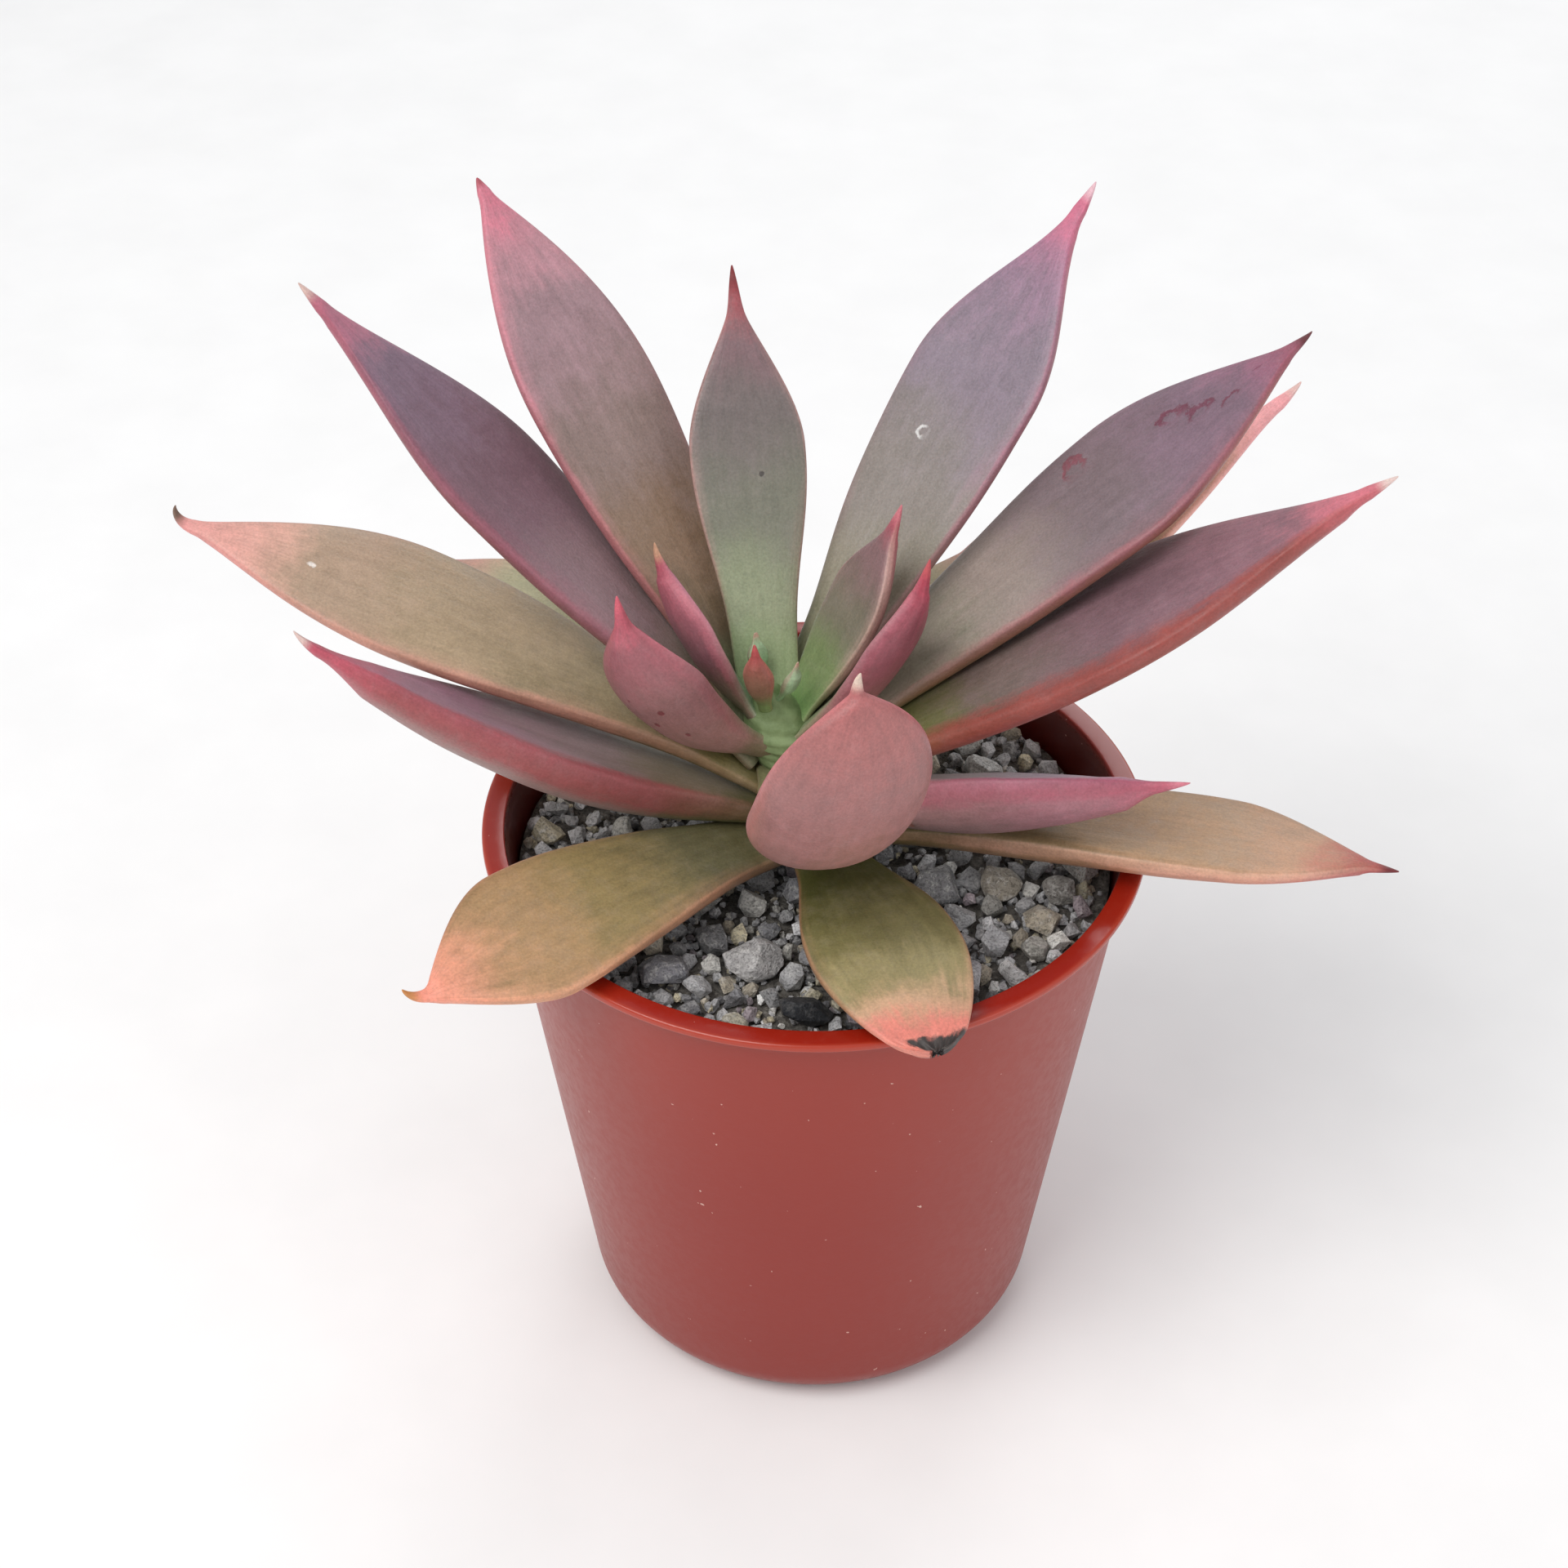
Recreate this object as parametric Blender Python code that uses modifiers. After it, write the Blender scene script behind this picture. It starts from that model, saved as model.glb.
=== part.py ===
"""A rosette succulent with long pointed leaves, growing in a small round plastic nursery pot under a grit top dressing.

Metres, +Z up. The origin is the centre of the pot's foot, and the side that faces a viewer is -Y.
Directions are turns in degrees anticlockwise from +X, seen from above.
"""

import math
from dataclasses import dataclass

import bmesh
import bpy
import numpy as np

MM = 0.001
GAP = 0.3 * MM  # between pieces that touch in the real thing

# Pot
POT_HEIGHT = 60 * MM
RIM_RADIUS = 32.5 * MM
RIM_BAND = 2.2 * MM  # flat band round the mouth
RIM_LIP = 0.8 * MM  # depth of the band's outer edge
RIM_OVERHANG = 1.4 * MM  # of the band past the wall
BASE_RADIUS = 23 * MM  # of the wall's line where it meets the ground
BASE_CORNER = 5 * MM
WALL = 0.9 * MM
FLOOR = 1.2 * MM
DRAINS = 4  # holes through the flat floor, each with a shallow slot under it that runs out to the edge
DRAIN_TURN = 3  # degrees that they are turned round from the pot's front
DRAIN_RADIUS = 3 * MM
DRAIN_CIRCLE = 12 * MM
SLOT_WIDTH = 8.5 * MM
SLOT_HEIGHT = 0.4 * MM
POT_STEPS = 72

# What fills it
GRIT_BELOW_RIM = 5.5 * MM  # level of the bed that the larger stones lie on
GRIT_DEPTH = 8 * MM
GRIT_SWELL = 0.35 * MM
STEM_SOCKET = 6 * MM  # how far the stem reaches below the grit

# Plant. The crown stands this far above the rim, and leans to the left as it rises.
STEM_RADIUS = 2.4 * MM
STEM_TOP_RADIUS = 0.7 * MM
CROWN_TAPER_FROM = 11 * MM
CROWN_TOP = 16.5 * MM
STEM_FOOT = (-1.0 * MM, -0.3 * MM)  # where the stem's axis crosses the level of the rim
STEM_LEAN = 0.21  # sideways run for each unit of height
LEAF_RINGS = 12
LEAF_SIDES = 10
UPPER_SHARE = 0.3  # of a leaf's thickness that lies above the plane of its margins

STONE_CLEARANCE = 0.3 * MM


@dataclass
class Leaf:
    """One leaf. Lengths are in mm and angles in degrees; pairs are the values at the base and at the tip."""

    name: str
    turn: float  # direction in which it leaves the stem
    height: float  # of its base above the pot's rim
    length: float
    width: float
    thickness: float
    rise: tuple  # slope of the midrib
    swing: float = 0.0  # how far the midrib turns sideways on its way to the tip
    roll: tuple = (0.0, 0.0)  # of the blade about its midrib; positive lifts the anticlockwise margin
    widest: float = 0.58  # where along the blade
    drawn_out: float = 0.3  # 0 for full shoulders, 1 for a tip drawn out to a point
    fullness: float = 1.75  # of the shoulders
    neck: float = 0.3  # width at the base, as a share of the widest
    point: float = 3.0  # length of the hard point that ends the blade
    blunt: bool = False  # a tip lost to damage
    on_rim: bool = False  # rests across the pot's rim


LEAVES = [
    # Outermost ring, low over the grit
    Leaf("leaf_low_back_left", 141, 0.5, 47, 15, 3.6, (21, 4), swing=4, widest=0.7, drawn_out=0, fullness=2.2),
    Leaf("leaf_rim_front_left", 222, -0.4, 44.5, 14.5, 4.6, (14, -15), swing=-3, roll=(-8, -18), widest=0.72,
         drawn_out=0.1, on_rim=True),
    Leaf("leaf_torn_front", 289, -1, 33.5, 14.5, 4, (16, -10), widest=0.64, fullness=4, neck=0.25, point=1,
         blunt=True, on_rim=True),
    Leaf("leaf_rim_right", 351, 0.3, 54.5, 13.5, 4.2, (11, -6), swing=-3, roll=(0, -12), neck=0.25, widest=0.75,
         drawn_out=0.1, on_rim=True),
    Leaf("leaf_low_back_right", 62, 1.5, 37, 12, 3.6, (16, 10), fullness=2.5),
    # Middle rings
    Leaf("leaf_keeled_left", 192, 3, 50, 13, 5.2, (20, 40), swing=-4, roll=(8, 22), widest=0.5, drawn_out=0.4),
    Leaf("leaf_tan_left", 173, 6.2, 61, 14.5, 3.9, (31, 15), roll=(2, -16), widest=0.62, drawn_out=0.2),
    Leaf("leaf_pink_right", 342, 4.6, 36.5, 11.5, 5.2, (12, 19), roll=(-28, -40)),
    Leaf("leaf_behind_right", 30, 5.2, 60.5, 11, 3, (26, 27), neck=0.25),
    Leaf("leaf_red_edged_right", 357, 7.5, 61, 17.5, 4.4, (34, 35), widest=0.54, drawn_out=0.4, neck=0.4),
    Leaf("leaf_purple_left", 159, 9.2, 60, 14, 3.6, (43, 44), swing=5, widest=0.6),
    Leaf("leaf_scarred_right", 17, 10.1, 59.5, 17, 3.8, (38, 37), widest=0.66, drawn_out=0.1),
    Leaf("leaf_upper_left", 132, 12.2, 56, 14.5, 3.8, (46, 52), swing=8, widest=0.6, drawn_out=0, fullness=2.1,
         point=1.5),
    Leaf("leaf_upper_right", 50, 12.2, 56.5, 15.5, 3.8, (46, 49), swing=-12, widest=0.64, drawn_out=0.6),
    # Inner rings, curving up round the crown
    Leaf("leaf_front_incurved", 276, 7, 45, 15.5, 4.4, (4, 100), swing=22, roll=(-5, -5), widest=0.6, drawn_out=0,
         fullness=4),
    Leaf("leaf_inner_spotted", 204, 11, 24.5, 10.5, 3.8, (32, 84), roll=(35, 45)),
    Leaf("leaf_inner_maroon", 346, 12.3, 24, 8.5, 2.8, (46, 78), roll=(-10, -25)),
    Leaf("leaf_back_centre", 100, 14.6, 39.5, 11, 3.4, (54, 61), widest=0.62, drawn_out=0.3, neck=0.34, point=4),
    Leaf("leaf_inner_left", 168, 14, 19, 8, 2.6, (56, 68), roll=(25, 45)),
    Leaf("leaf_inner_right", 24, 13.8, 22, 8.5, 2.6, (56, 69), neck=0.35),
    # Young leaves at the heart of the crown
    Leaf("leaf_young_pointed", 252, 15.5, 9, 2.6, 1.6, (66, 80), point=1.2),
    Leaf("leaf_bud_left", 120, 16.4, 4.5, 1.8, 1.2, (72, 82), point=0.8),
    Leaf("leaf_bud_right", 320, 16, 5, 1.8, 1.2, (60, 75), point=0.8),
]


@dataclass
class Stone:
    """One larger stone of the top dressing. Place is a turn in degrees and a share of the bed's radius."""

    name: str
    turn: float
    out: float
    size: tuple  # mm, along, across and up
    spin: float  # degrees about the vertical
    colour: tuple


STONES = [
    Stone("stone_quartz_front", 252, 0.62, (6.4, 4.6, 4.0), 12, (0.62, 0.60, 0.60)),
    Stone("stone_grey_front", 232, 0.80, (5.4, 4.2, 3.4), -20, (0.42, 0.42, 0.44)),
    Stone("stone_black_front", 269, 0.82, (5.6, 4.0, 3.2), 5, (0.02, 0.025, 0.03)),
    Stone("stone_cream_front", 254, 0.9, (2.6, 2.4, 2.2), 0, (0.55, 0.52, 0.42)),
    Stone("stone_pitted", 333, 0.46, (5.4, 4.6, 3.8), 30, (0.38, 0.38, 0.38)),
    Stone("stone_tan_square", 342, 0.66, (4.4, 3.8, 3.4), 8, (0.48, 0.44, 0.38)),
    Stone("stone_tan_grey", 345, 0.85, (3.6, 3.2, 3.0), -15, (0.42, 0.40, 0.37)),
    Stone("stone_crystalline", 305, 0.82, (4.6, 4.0, 3.4), 40, (0.66, 0.66, 0.68)),
    Stone("stone_mauve", 312, 0.62, (3.4, 3.0, 2.8), -35, (0.34, 0.29, 0.31)),
    Stone("stone_pale_right", 325, 0.88, (3.2, 2.6, 2.6), 20, (0.55, 0.54, 0.50)),
    Stone("stone_cream_left", 176, 0.91, (3.6, 3.0, 3.0), 0, (0.66, 0.60, 0.45)),
    Stone("stone_white_left", 173, 0.66, (3.4, 2.4, 2.6), 50, (0.68, 0.67, 0.62)),
    Stone("stone_grey_left", 192, 0.72, (4.0, 3.2, 2.8), -30, (0.36, 0.36, 0.37)),
    Stone("stone_back", 95, 0.66, (5.0, 4.4, 3.4), 15, (0.46, 0.45, 0.44)),
    Stone("stone_back_right", 36, 0.72, (4.2, 3.6, 3.0), -10, (0.60, 0.60, 0.58)),
    Stone("stone_back_left", 122, 0.80, (4.4, 3.6, 3.0), 35, (0.50, 0.48, 0.44)),
]


def material(name, colour, roughness, metallic=0.0):
    made = bpy.data.materials.new(name)
    made.use_nodes = True
    shader = made.node_tree.nodes["Principled BSDF"]
    shader.inputs["Base Color"].default_value = (*colour, 1.0)
    shader.inputs["Roughness"].default_value = roughness
    shader.inputs["Metallic"].default_value = metallic
    made.diffuse_color = (*colour, 1.0)
    return made


def collection(name):
    made = bpy.data.collections.new(name)
    bpy.context.scene.collection.children.link(made)
    return made


def add_object(name, mesh, home, mat=None):
    obj = bpy.data.objects.new(name, mesh)
    home.objects.link(obj)
    if mat:
        mesh.materials.append(mat)
    return obj


def smooth(mesh, angle=35):
    mesh.shade_smooth()
    mesh.set_sharp_from_angle(angle=math.radians(angle))


def turned(name, profile, home, mat, steps):
    """A solid of revolution about Z. The profile runs from axis to axis and comes down its outer side."""
    mesh = bpy.data.meshes.new(name)
    points = [(x, 0.0, z) for x, z in profile]
    mesh.from_pydata(points, [(i, i + 1) for i in range(len(points) - 1)], [])
    obj = add_object(name, mesh, home, mat)
    screw = obj.modifiers.new("turn", "SCREW")
    screw.steps = screw.render_steps = steps
    screw.use_merge_vertices = True
    screw.merge_threshold = 1e-6
    screw.use_smooth_shade = True
    return obj


def cut(obj, cutter):
    """Takes the cutter's shape out of the object."""
    boolean = obj.modifiers.new("cut " + cutter.name, "BOOLEAN")
    boolean.operation = "DIFFERENCE"
    boolean.solver = "EXACT"
    boolean.object = cutter
    cutter.hide_render = True
    cutter.display_type = "WIRE"


# The pot's outer and inner lines

LEAN_OF_WALL = math.atan2(RIM_RADIUS - RIM_OVERHANG - BASE_RADIUS, POT_HEIGHT)


def outer_radius(z):
    return BASE_RADIUS + math.tan(LEAN_OF_WALL) * z


def inner_radius(z):
    """Of the pot's inside, which is parallel to its outside, down to the rounded corner."""
    straight = outer_radius(z) - WALL / math.cos(LEAN_OF_WALL)
    centre = corner_centre()
    if z >= centre[1] - (BASE_CORNER - WALL) * math.sin(LEAN_OF_WALL):
        return straight
    return centre[0] + math.sqrt(max(0.0, (BASE_CORNER - WALL) ** 2 - (centre[1] - z) ** 2))


def corner_centre():
    tangent_z = BASE_CORNER * (1 - math.sin(LEAN_OF_WALL))
    return outer_radius(tangent_z) - BASE_CORNER * math.cos(LEAN_OF_WALL), BASE_CORNER


def corner_arc(steps=6):
    """Down the outer side of the base, from the wall to the flat underside."""
    centre = corner_centre()
    for i in range(steps + 1):
        angle = -LEAN_OF_WALL - (math.pi / 2 - LEAN_OF_WALL) * i / steps
        yield centre[0] + BASE_CORNER * math.cos(angle), centre[1] + BASE_CORNER * math.sin(angle)


def mouth_radius():
    return RIM_RADIUS - RIM_BAND


def make_pot(home, cutters):
    under_rim = POT_HEIGHT - RIM_LIP
    edge = 0.15 * MM  # the small rounding of the rim's edges
    profile = [(0.0, FLOOR)]
    corner_top = BASE_CORNER
    inside_heights = [FLOOR + (corner_top - FLOOR) * k / 4 for k in range(5)]
    inside_heights += [POT_HEIGHT * 0.45, under_rim - WALL]
    profile += [(inner_radius(z), z) for z in inside_heights]
    profile += [
        (mouth_radius(), under_rim),
        (mouth_radius(), POT_HEIGHT - edge),
        (mouth_radius() + edge, POT_HEIGHT),
        (RIM_RADIUS - edge, POT_HEIGHT),
        (RIM_RADIUS, POT_HEIGHT - edge),
        (RIM_RADIUS, under_rim),
        (outer_radius(under_rim), under_rim - edge),
        (outer_radius(POT_HEIGHT * 0.45), POT_HEIGHT * 0.45),
    ]
    profile += list(corner_arc())
    profile += [(0.0, 0.0)]
    pot = turned("pot", profile, home, material("pot_plastic", (0.33, 0.055, 0.035), 0.38), POT_STEPS)
    for i in range(DRAINS):
        angle = 2 * math.pi * i / DRAINS + math.radians(DRAIN_TURN - 90)
        slot = box(f"slot_{i}", (BASE_RADIUS, SLOT_WIDTH, 2 * SLOT_HEIGHT), cutters)
        slot.location = (math.cos(angle), math.sin(angle), 0.0)
        slot.location *= DRAIN_CIRCLE + BASE_RADIUS / 2
        slot.rotation_euler.z = angle
        cut(pot, slot)
        drain = cylinder(f"drain_{i}", DRAIN_RADIUS, 4 * FLOOR, cutters, sides=20)
        drain.location = (math.cos(angle) * DRAIN_CIRCLE, math.sin(angle) * DRAIN_CIRCLE, FLOOR)
        cut(pot, drain)
    return pot


def box(name, size, home):
    mesh = bpy.data.meshes.new(name)
    grown = bmesh.new()
    bmesh.ops.create_cube(grown, size=1.0)
    bmesh.ops.scale(grown, verts=grown.verts, vec=size)
    grown.to_mesh(mesh)
    grown.free()
    return add_object(name, mesh, home)


def cylinder(name, radius, height, home, sides=24):
    mesh = bpy.data.meshes.new(name)
    grown = bmesh.new()
    bmesh.ops.create_cone(grown, cap_ends=True, segments=sides, radius1=radius, radius2=radius, depth=height)
    grown.to_mesh(mesh)
    grown.free()
    return add_object(name, mesh, home)


def grit_top():
    return POT_HEIGHT - GRIT_BELOW_RIM


def mix_top():
    return grit_top() - GRIT_DEPTH


def fill_profile(low, high, steps=4):
    """A filling between two heights that clears the pot's inside by the usual gap."""
    heights = [high + (low - high) * k / steps for k in range(steps + 1)]
    return [(0.0, high)] + [(inner_radius(z) - GAP, z) for z in heights] + [(0.0, low)]


def make_growing_mix(home, socket):
    profile = fill_profile(FLOOR + GAP, mix_top(), steps=8)
    mix = turned("growing_mix", profile, home, material("growing_mix", (0.05, 0.035, 0.025), 0.95), 40)
    cut(mix, socket)


def make_grit_bed(home, socket):
    """The layer of grit, gently uneven on top."""
    low, high = mix_top() + GAP, grit_top()
    rings = [0.0, 0.2, 0.4, 0.6, 0.8]
    edge = inner_radius(high) - GAP
    profile = [(edge * share, high) for share in rings] + fill_profile(low, high, steps=2)[1:]
    bed = turned("grit_bed", profile, home, material("grit", (0.36, 0.35, 0.33), 0.85), 40)
    sheet = bpy.data.meshes.new_from_object(bed.evaluated_get(bpy.context.evaluated_depsgraph_get()))
    bpy.data.objects.remove(bed)
    bed = add_object("grit_bed", sheet, home)
    co = np.empty(len(sheet.vertices) * 3)
    sheet.vertices.foreach_get("co", co)
    co = co.reshape(-1, 3)
    top = (co[:, 2] > high - 1e-6) & (np.hypot(co[:, 0], co[:, 1]) < edge - 1e-6)
    x, y = co[:, 0] / MM, co[:, 1] / MM
    swell = np.sin(0.9 * x + 0.4 * y) * np.cos(0.8 * y - 0.3 * x)
    co[top, 2] -= GRIT_SWELL * (1 + swell[top]) / 2
    sheet.vertices.foreach_set("co", co.ravel())
    cut(bed, socket)


# The stem and what grows from it


def stem_centre(height):
    """Where the stem's axis is at a height above the rim."""
    return np.array([STEM_FOOT[0] - STEM_LEAN * height, STEM_FOOT[1], POT_HEIGHT + height])


def stem_radius(height):
    above = (height - CROWN_TAPER_FROM) / (CROWN_TOP - CROWN_TAPER_FROM)
    return STEM_RADIUS + (STEM_TOP_RADIUS - STEM_RADIUS) * min(1.0, max(0.0, above))


def make_stem(home, cutters):
    """Returns the cutter of the hole that the stem stands in."""
    lean = math.atan(STEM_LEAN)
    bottom = -(POT_HEIGHT - mix_top() + STEM_SOCKET)
    along = [CROWN_TOP, CROWN_TAPER_FROM, 0.0, bottom]
    profile = [(0.0, (CROWN_TOP + 0.3 * MM) / math.cos(lean))]
    profile += [(stem_radius(h), h / math.cos(lean)) for h in along] + [(0.0, bottom / math.cos(lean))]
    stem = turned("stem", profile, home, material("stem", (0.30, 0.30, 0.17), 0.7), 20)
    hole = cylinder("stem_hole", STEM_RADIUS + GAP, -bottom / math.cos(lean) + GAP, cutters, sides=20)
    for obj in (stem, hole):
        obj.rotation_euler.y = -lean
    stem.location = stem_centre(0.0)
    hole.location = (stem_centre(0.0) + stem_centre(bottom - GAP)) / 2
    return hole


def slerp_line(pair, s):
    return pair[0] + (pair[1] - pair[0]) * s


def blade_width(leaf, s):
    """Share of the leaf's greatest width at s, from 0 at the base to 1 at the tip of the blade."""
    out = np.clip(s / leaf.widest, 0, 1)
    back = np.clip((s - leaf.widest) / (1 - leaf.widest), 0, 1)
    growing = leaf.neck + (1 - leaf.neck) * np.sin(np.pi / 2 * out) ** 1.35
    full = 1 - back**leaf.fullness
    if leaf.blunt:
        full = 0.55 + 0.45 * full
    drawn = 0.5 + 0.5 * np.cos(np.pi * back)
    return np.where(s < leaf.widest, growing, full + leaf.drawn_out * (drawn - full))


def leaf_sections(leaf, s):
    """Width and thickness in mm at the stations s along the whole leaf."""
    point = leaf.point / leaf.length
    width = leaf.width * blade_width(leaf, np.clip(s / (1 - 0.8 * point), 0, 1))
    width = np.maximum(width, 1.3 * np.clip((1 - s) / point, 0.15, 1) * min(1.0, leaf.width / 6))
    body = 0.55 + 0.45 * np.sin(np.pi / 2 * np.clip(s / 0.35, 0, 1))
    taper = 1 - 0.75 * np.clip((s - 0.35) / 0.65, 0, 1) ** 2
    return width, np.minimum(leaf.thickness * body * taper, 0.75 * width)


def leaf_spine(leaf, s, tilt=0.0):
    """Points and directions of the midrib: it starts on the stem and is carried along its slope and its turn."""
    fine = np.linspace(0, 1, 241)
    rise = np.radians(slerp_line(leaf.rise, fine) + tilt)
    turn = np.radians(leaf.turn + leaf.swing * fine)
    way = np.stack([np.cos(rise) * np.cos(turn), np.cos(rise) * np.sin(turn), np.sin(rise)], axis=1)
    steps = (way[1:] + way[:-1]) / 2 * leaf.length * MM / (len(fine) - 1)
    line = np.concatenate([np.zeros((1, 3)), np.cumsum(steps, axis=0)])
    start = leaf.height * MM
    first = leaf.thickness * 0.55 * MM * math.sin(rise[0]) * (1 - UPPER_SHARE)
    out = stem_radius(start) + GAP + max(0.0, first)
    base = stem_centre(start) + out * np.array([math.cos(turn[0]), math.sin(turn[0]), 0.0])
    points = np.stack([np.interp(s, fine, line[:, i]) for i in range(3)], axis=1) + base
    return points, np.stack([np.interp(s, fine, way[:, i]) for i in range(3)], axis=1)


def leaf_rings(leaf, rings, sides, tilt=0.0):
    """The leaf's surface: at each station a ring with a nearly flat face above and a rounded keel below."""
    s = np.linspace(0, 1, rings + 1)
    points, way = leaf_spine(leaf, s, tilt)
    turn = np.radians(leaf.turn + leaf.swing * s)
    side = np.stack([-np.sin(turn), np.cos(turn), 0 * turn], axis=1)
    up = np.cross(way, side)
    roll = np.radians(slerp_line(leaf.roll, s))[:, None]
    side, up = side * np.cos(roll) + up * np.sin(roll), up * np.cos(roll) - side * np.sin(roll)
    width, thickness = leaf_sections(leaf, s)
    round_ring = np.linspace(0, 2 * np.pi, sides, endpoint=False)
    across = np.cos(round_ring)[None, :] * width[:, None] / 2 * MM
    lift = np.sin(round_ring)
    lift = np.where(lift > 0, UPPER_SHARE, 1 - UPPER_SHARE) * np.sign(lift) * np.abs(lift) ** 0.9
    lift = lift[None, :] * thickness[:, None] * MM
    return points[:, None] + across[..., None] * side[:, None] + lift[..., None] * up[:, None]


def clearance_over_rim(rings):
    """Height of a leaf's lowest point over the band of the rim."""
    grid = rings.reshape(-1, 3)
    middles = (rings[1:] + rings[:-1]).reshape(-1, 3) / 2
    points = np.concatenate([grid, middles])
    plan = np.hypot(points[:, 0], points[:, 1])
    over = (plan > mouth_radius() - 2 * MM) & (plan < RIM_RADIUS + 2 * MM)
    return points[over, 2].min() - POT_HEIGHT if over.any() else GAP


def tilt_onto_rim(leaf):
    """The change of slope with which a leaf that lies across the rim just rests on it."""
    low, high = -20.0, 20.0
    for _ in range(24):
        middle = (low + high) / 2
        if clearance_over_rim(leaf_rings(leaf, 48, 24, middle)) < GAP:
            low = middle
        else:
            high = middle
    return high


def loft(name, rings):
    """A closed mesh through the rings, with its two ends filled."""
    count, sides = rings.shape[:2]
    first = (np.arange(count - 1) * sides)[:, None]
    around = np.arange(sides)[None, :]
    onward = (around + 1) % sides
    quads = np.stack([first + around, first + onward, first + sides + onward, first + sides + around], axis=-1)
    faces = quads.reshape(-1, 4).tolist()
    faces.append(list(range(sides))[::-1])
    faces.append([(count - 1) * sides + i for i in range(sides)])
    mesh = bpy.data.meshes.new(name)
    mesh.from_pydata(rings.reshape(-1, 3).tolist(), [], faces)
    shape = bmesh.new()
    shape.from_mesh(mesh)
    bmesh.ops.recalc_face_normals(shape, faces=shape.faces)
    shape.to_mesh(mesh)
    shape.free()
    smooth(mesh, 50)
    return mesh


LEAF_COLOURS = {
    "leaf_low_back_left": (0.42, 0.45, 0.26),
    "leaf_rim_front_left": (0.46, 0.31, 0.16),
    "leaf_torn_front": (0.33, 0.30, 0.14),
    "leaf_rim_right": (0.48, 0.31, 0.18),
    "leaf_low_back_right": (0.36, 0.36, 0.22),
    "leaf_keeled_left": (0.45, 0.20, 0.22),
    "leaf_tan_left": (0.50, 0.33, 0.22),
    "leaf_pink_right": (0.50, 0.19, 0.24),
    "leaf_behind_right": (0.60, 0.36, 0.30),
    "leaf_red_edged_right": (0.36, 0.15, 0.15),
    "leaf_purple_left": (0.22, 0.12, 0.16),
    "leaf_scarred_right": (0.26, 0.17, 0.20),
    "leaf_upper_left": (0.36, 0.21, 0.18),
    "leaf_upper_right": (0.30, 0.20, 0.23),
    "leaf_front_incurved": (0.60, 0.24, 0.23),
    "leaf_inner_spotted": (0.50, 0.17, 0.22),
    "leaf_inner_maroon": (0.33, 0.08, 0.12),
    "leaf_back_centre": (0.26, 0.27, 0.19),
    "leaf_inner_left": (0.33, 0.16, 0.19),
    "leaf_inner_right": (0.24, 0.20, 0.17),
    "leaf_young_pointed": (0.30, 0.20, 0.12),
    "leaf_bud_left": (0.40, 0.48, 0.34),
    "leaf_bud_right": (0.40, 0.48, 0.34),
}


def make_leaf(leaf, home):
    tilt = tilt_onto_rim(leaf) if leaf.on_rim else 0.0
    rings = leaf_rings(leaf, LEAF_RINGS, LEAF_SIDES, tilt)
    add_object(leaf.name, loft(leaf.name, rings), home, material(leaf.name, LEAF_COLOURS[leaf.name], 0.5))


def make_stone(stone, home, number):
    """A ball cut back by a few planes, so that it has the flats and blunt edges of crushed rock."""
    chance = np.random.default_rng(100 + number)
    mesh = bpy.data.meshes.new(stone.name)
    ball = bmesh.new()
    bmesh.ops.create_icosphere(ball, subdivisions=2, radius=1.0)
    points = np.array([v.co for v in ball.verts])
    for _ in range(9):
        way = chance.normal(size=3)
        way /= np.linalg.norm(way)
        over = np.maximum(0.0, points @ way - chance.uniform(0.62, 0.85))
        points -= over[:, None] * way
    points /= np.abs(points).max(axis=0)
    points *= np.array(stone.size) * MM / 2
    for vertex, place in zip(ball.verts, points):
        vertex.co = place
    ball.to_mesh(mesh)
    ball.free()
    obj = add_object(stone.name, mesh, home, material(stone.name, stone.colour, 0.8))
    turn, out = math.radians(stone.turn), stone.out * (inner_radius(grit_top()) - GAP)
    lift = grit_top() + stone.size[2] * MM / 2 + STONE_CLEARANCE
    obj.location = (out * math.cos(turn), out * math.sin(turn), lift)
    obj.rotation_euler.z = math.radians(stone.spin)


def main():
    for obj in list(bpy.data.objects):
        bpy.data.objects.remove(obj)
    home, cutters = collection("potted_succulent"), collection("cutters")
    make_pot(home, cutters)
    socket = make_stem(home, cutters)
    make_growing_mix(home, socket)
    make_grit_bed(home, socket)
    for leaf in LEAVES:
        make_leaf(leaf, home)
    for number, stone in enumerate(STONES):
        make_stone(stone, home, number)


main()
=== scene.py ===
"""A potted rosette succulent: fleshy pointed leaves round a short stem, a grit top dressing and a red pot.

Metres, +Z up, -Y towards the viewer. Directions are turns in degrees anticlockwise from +X, seen from above.
"""

import math
from dataclasses import dataclass

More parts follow.
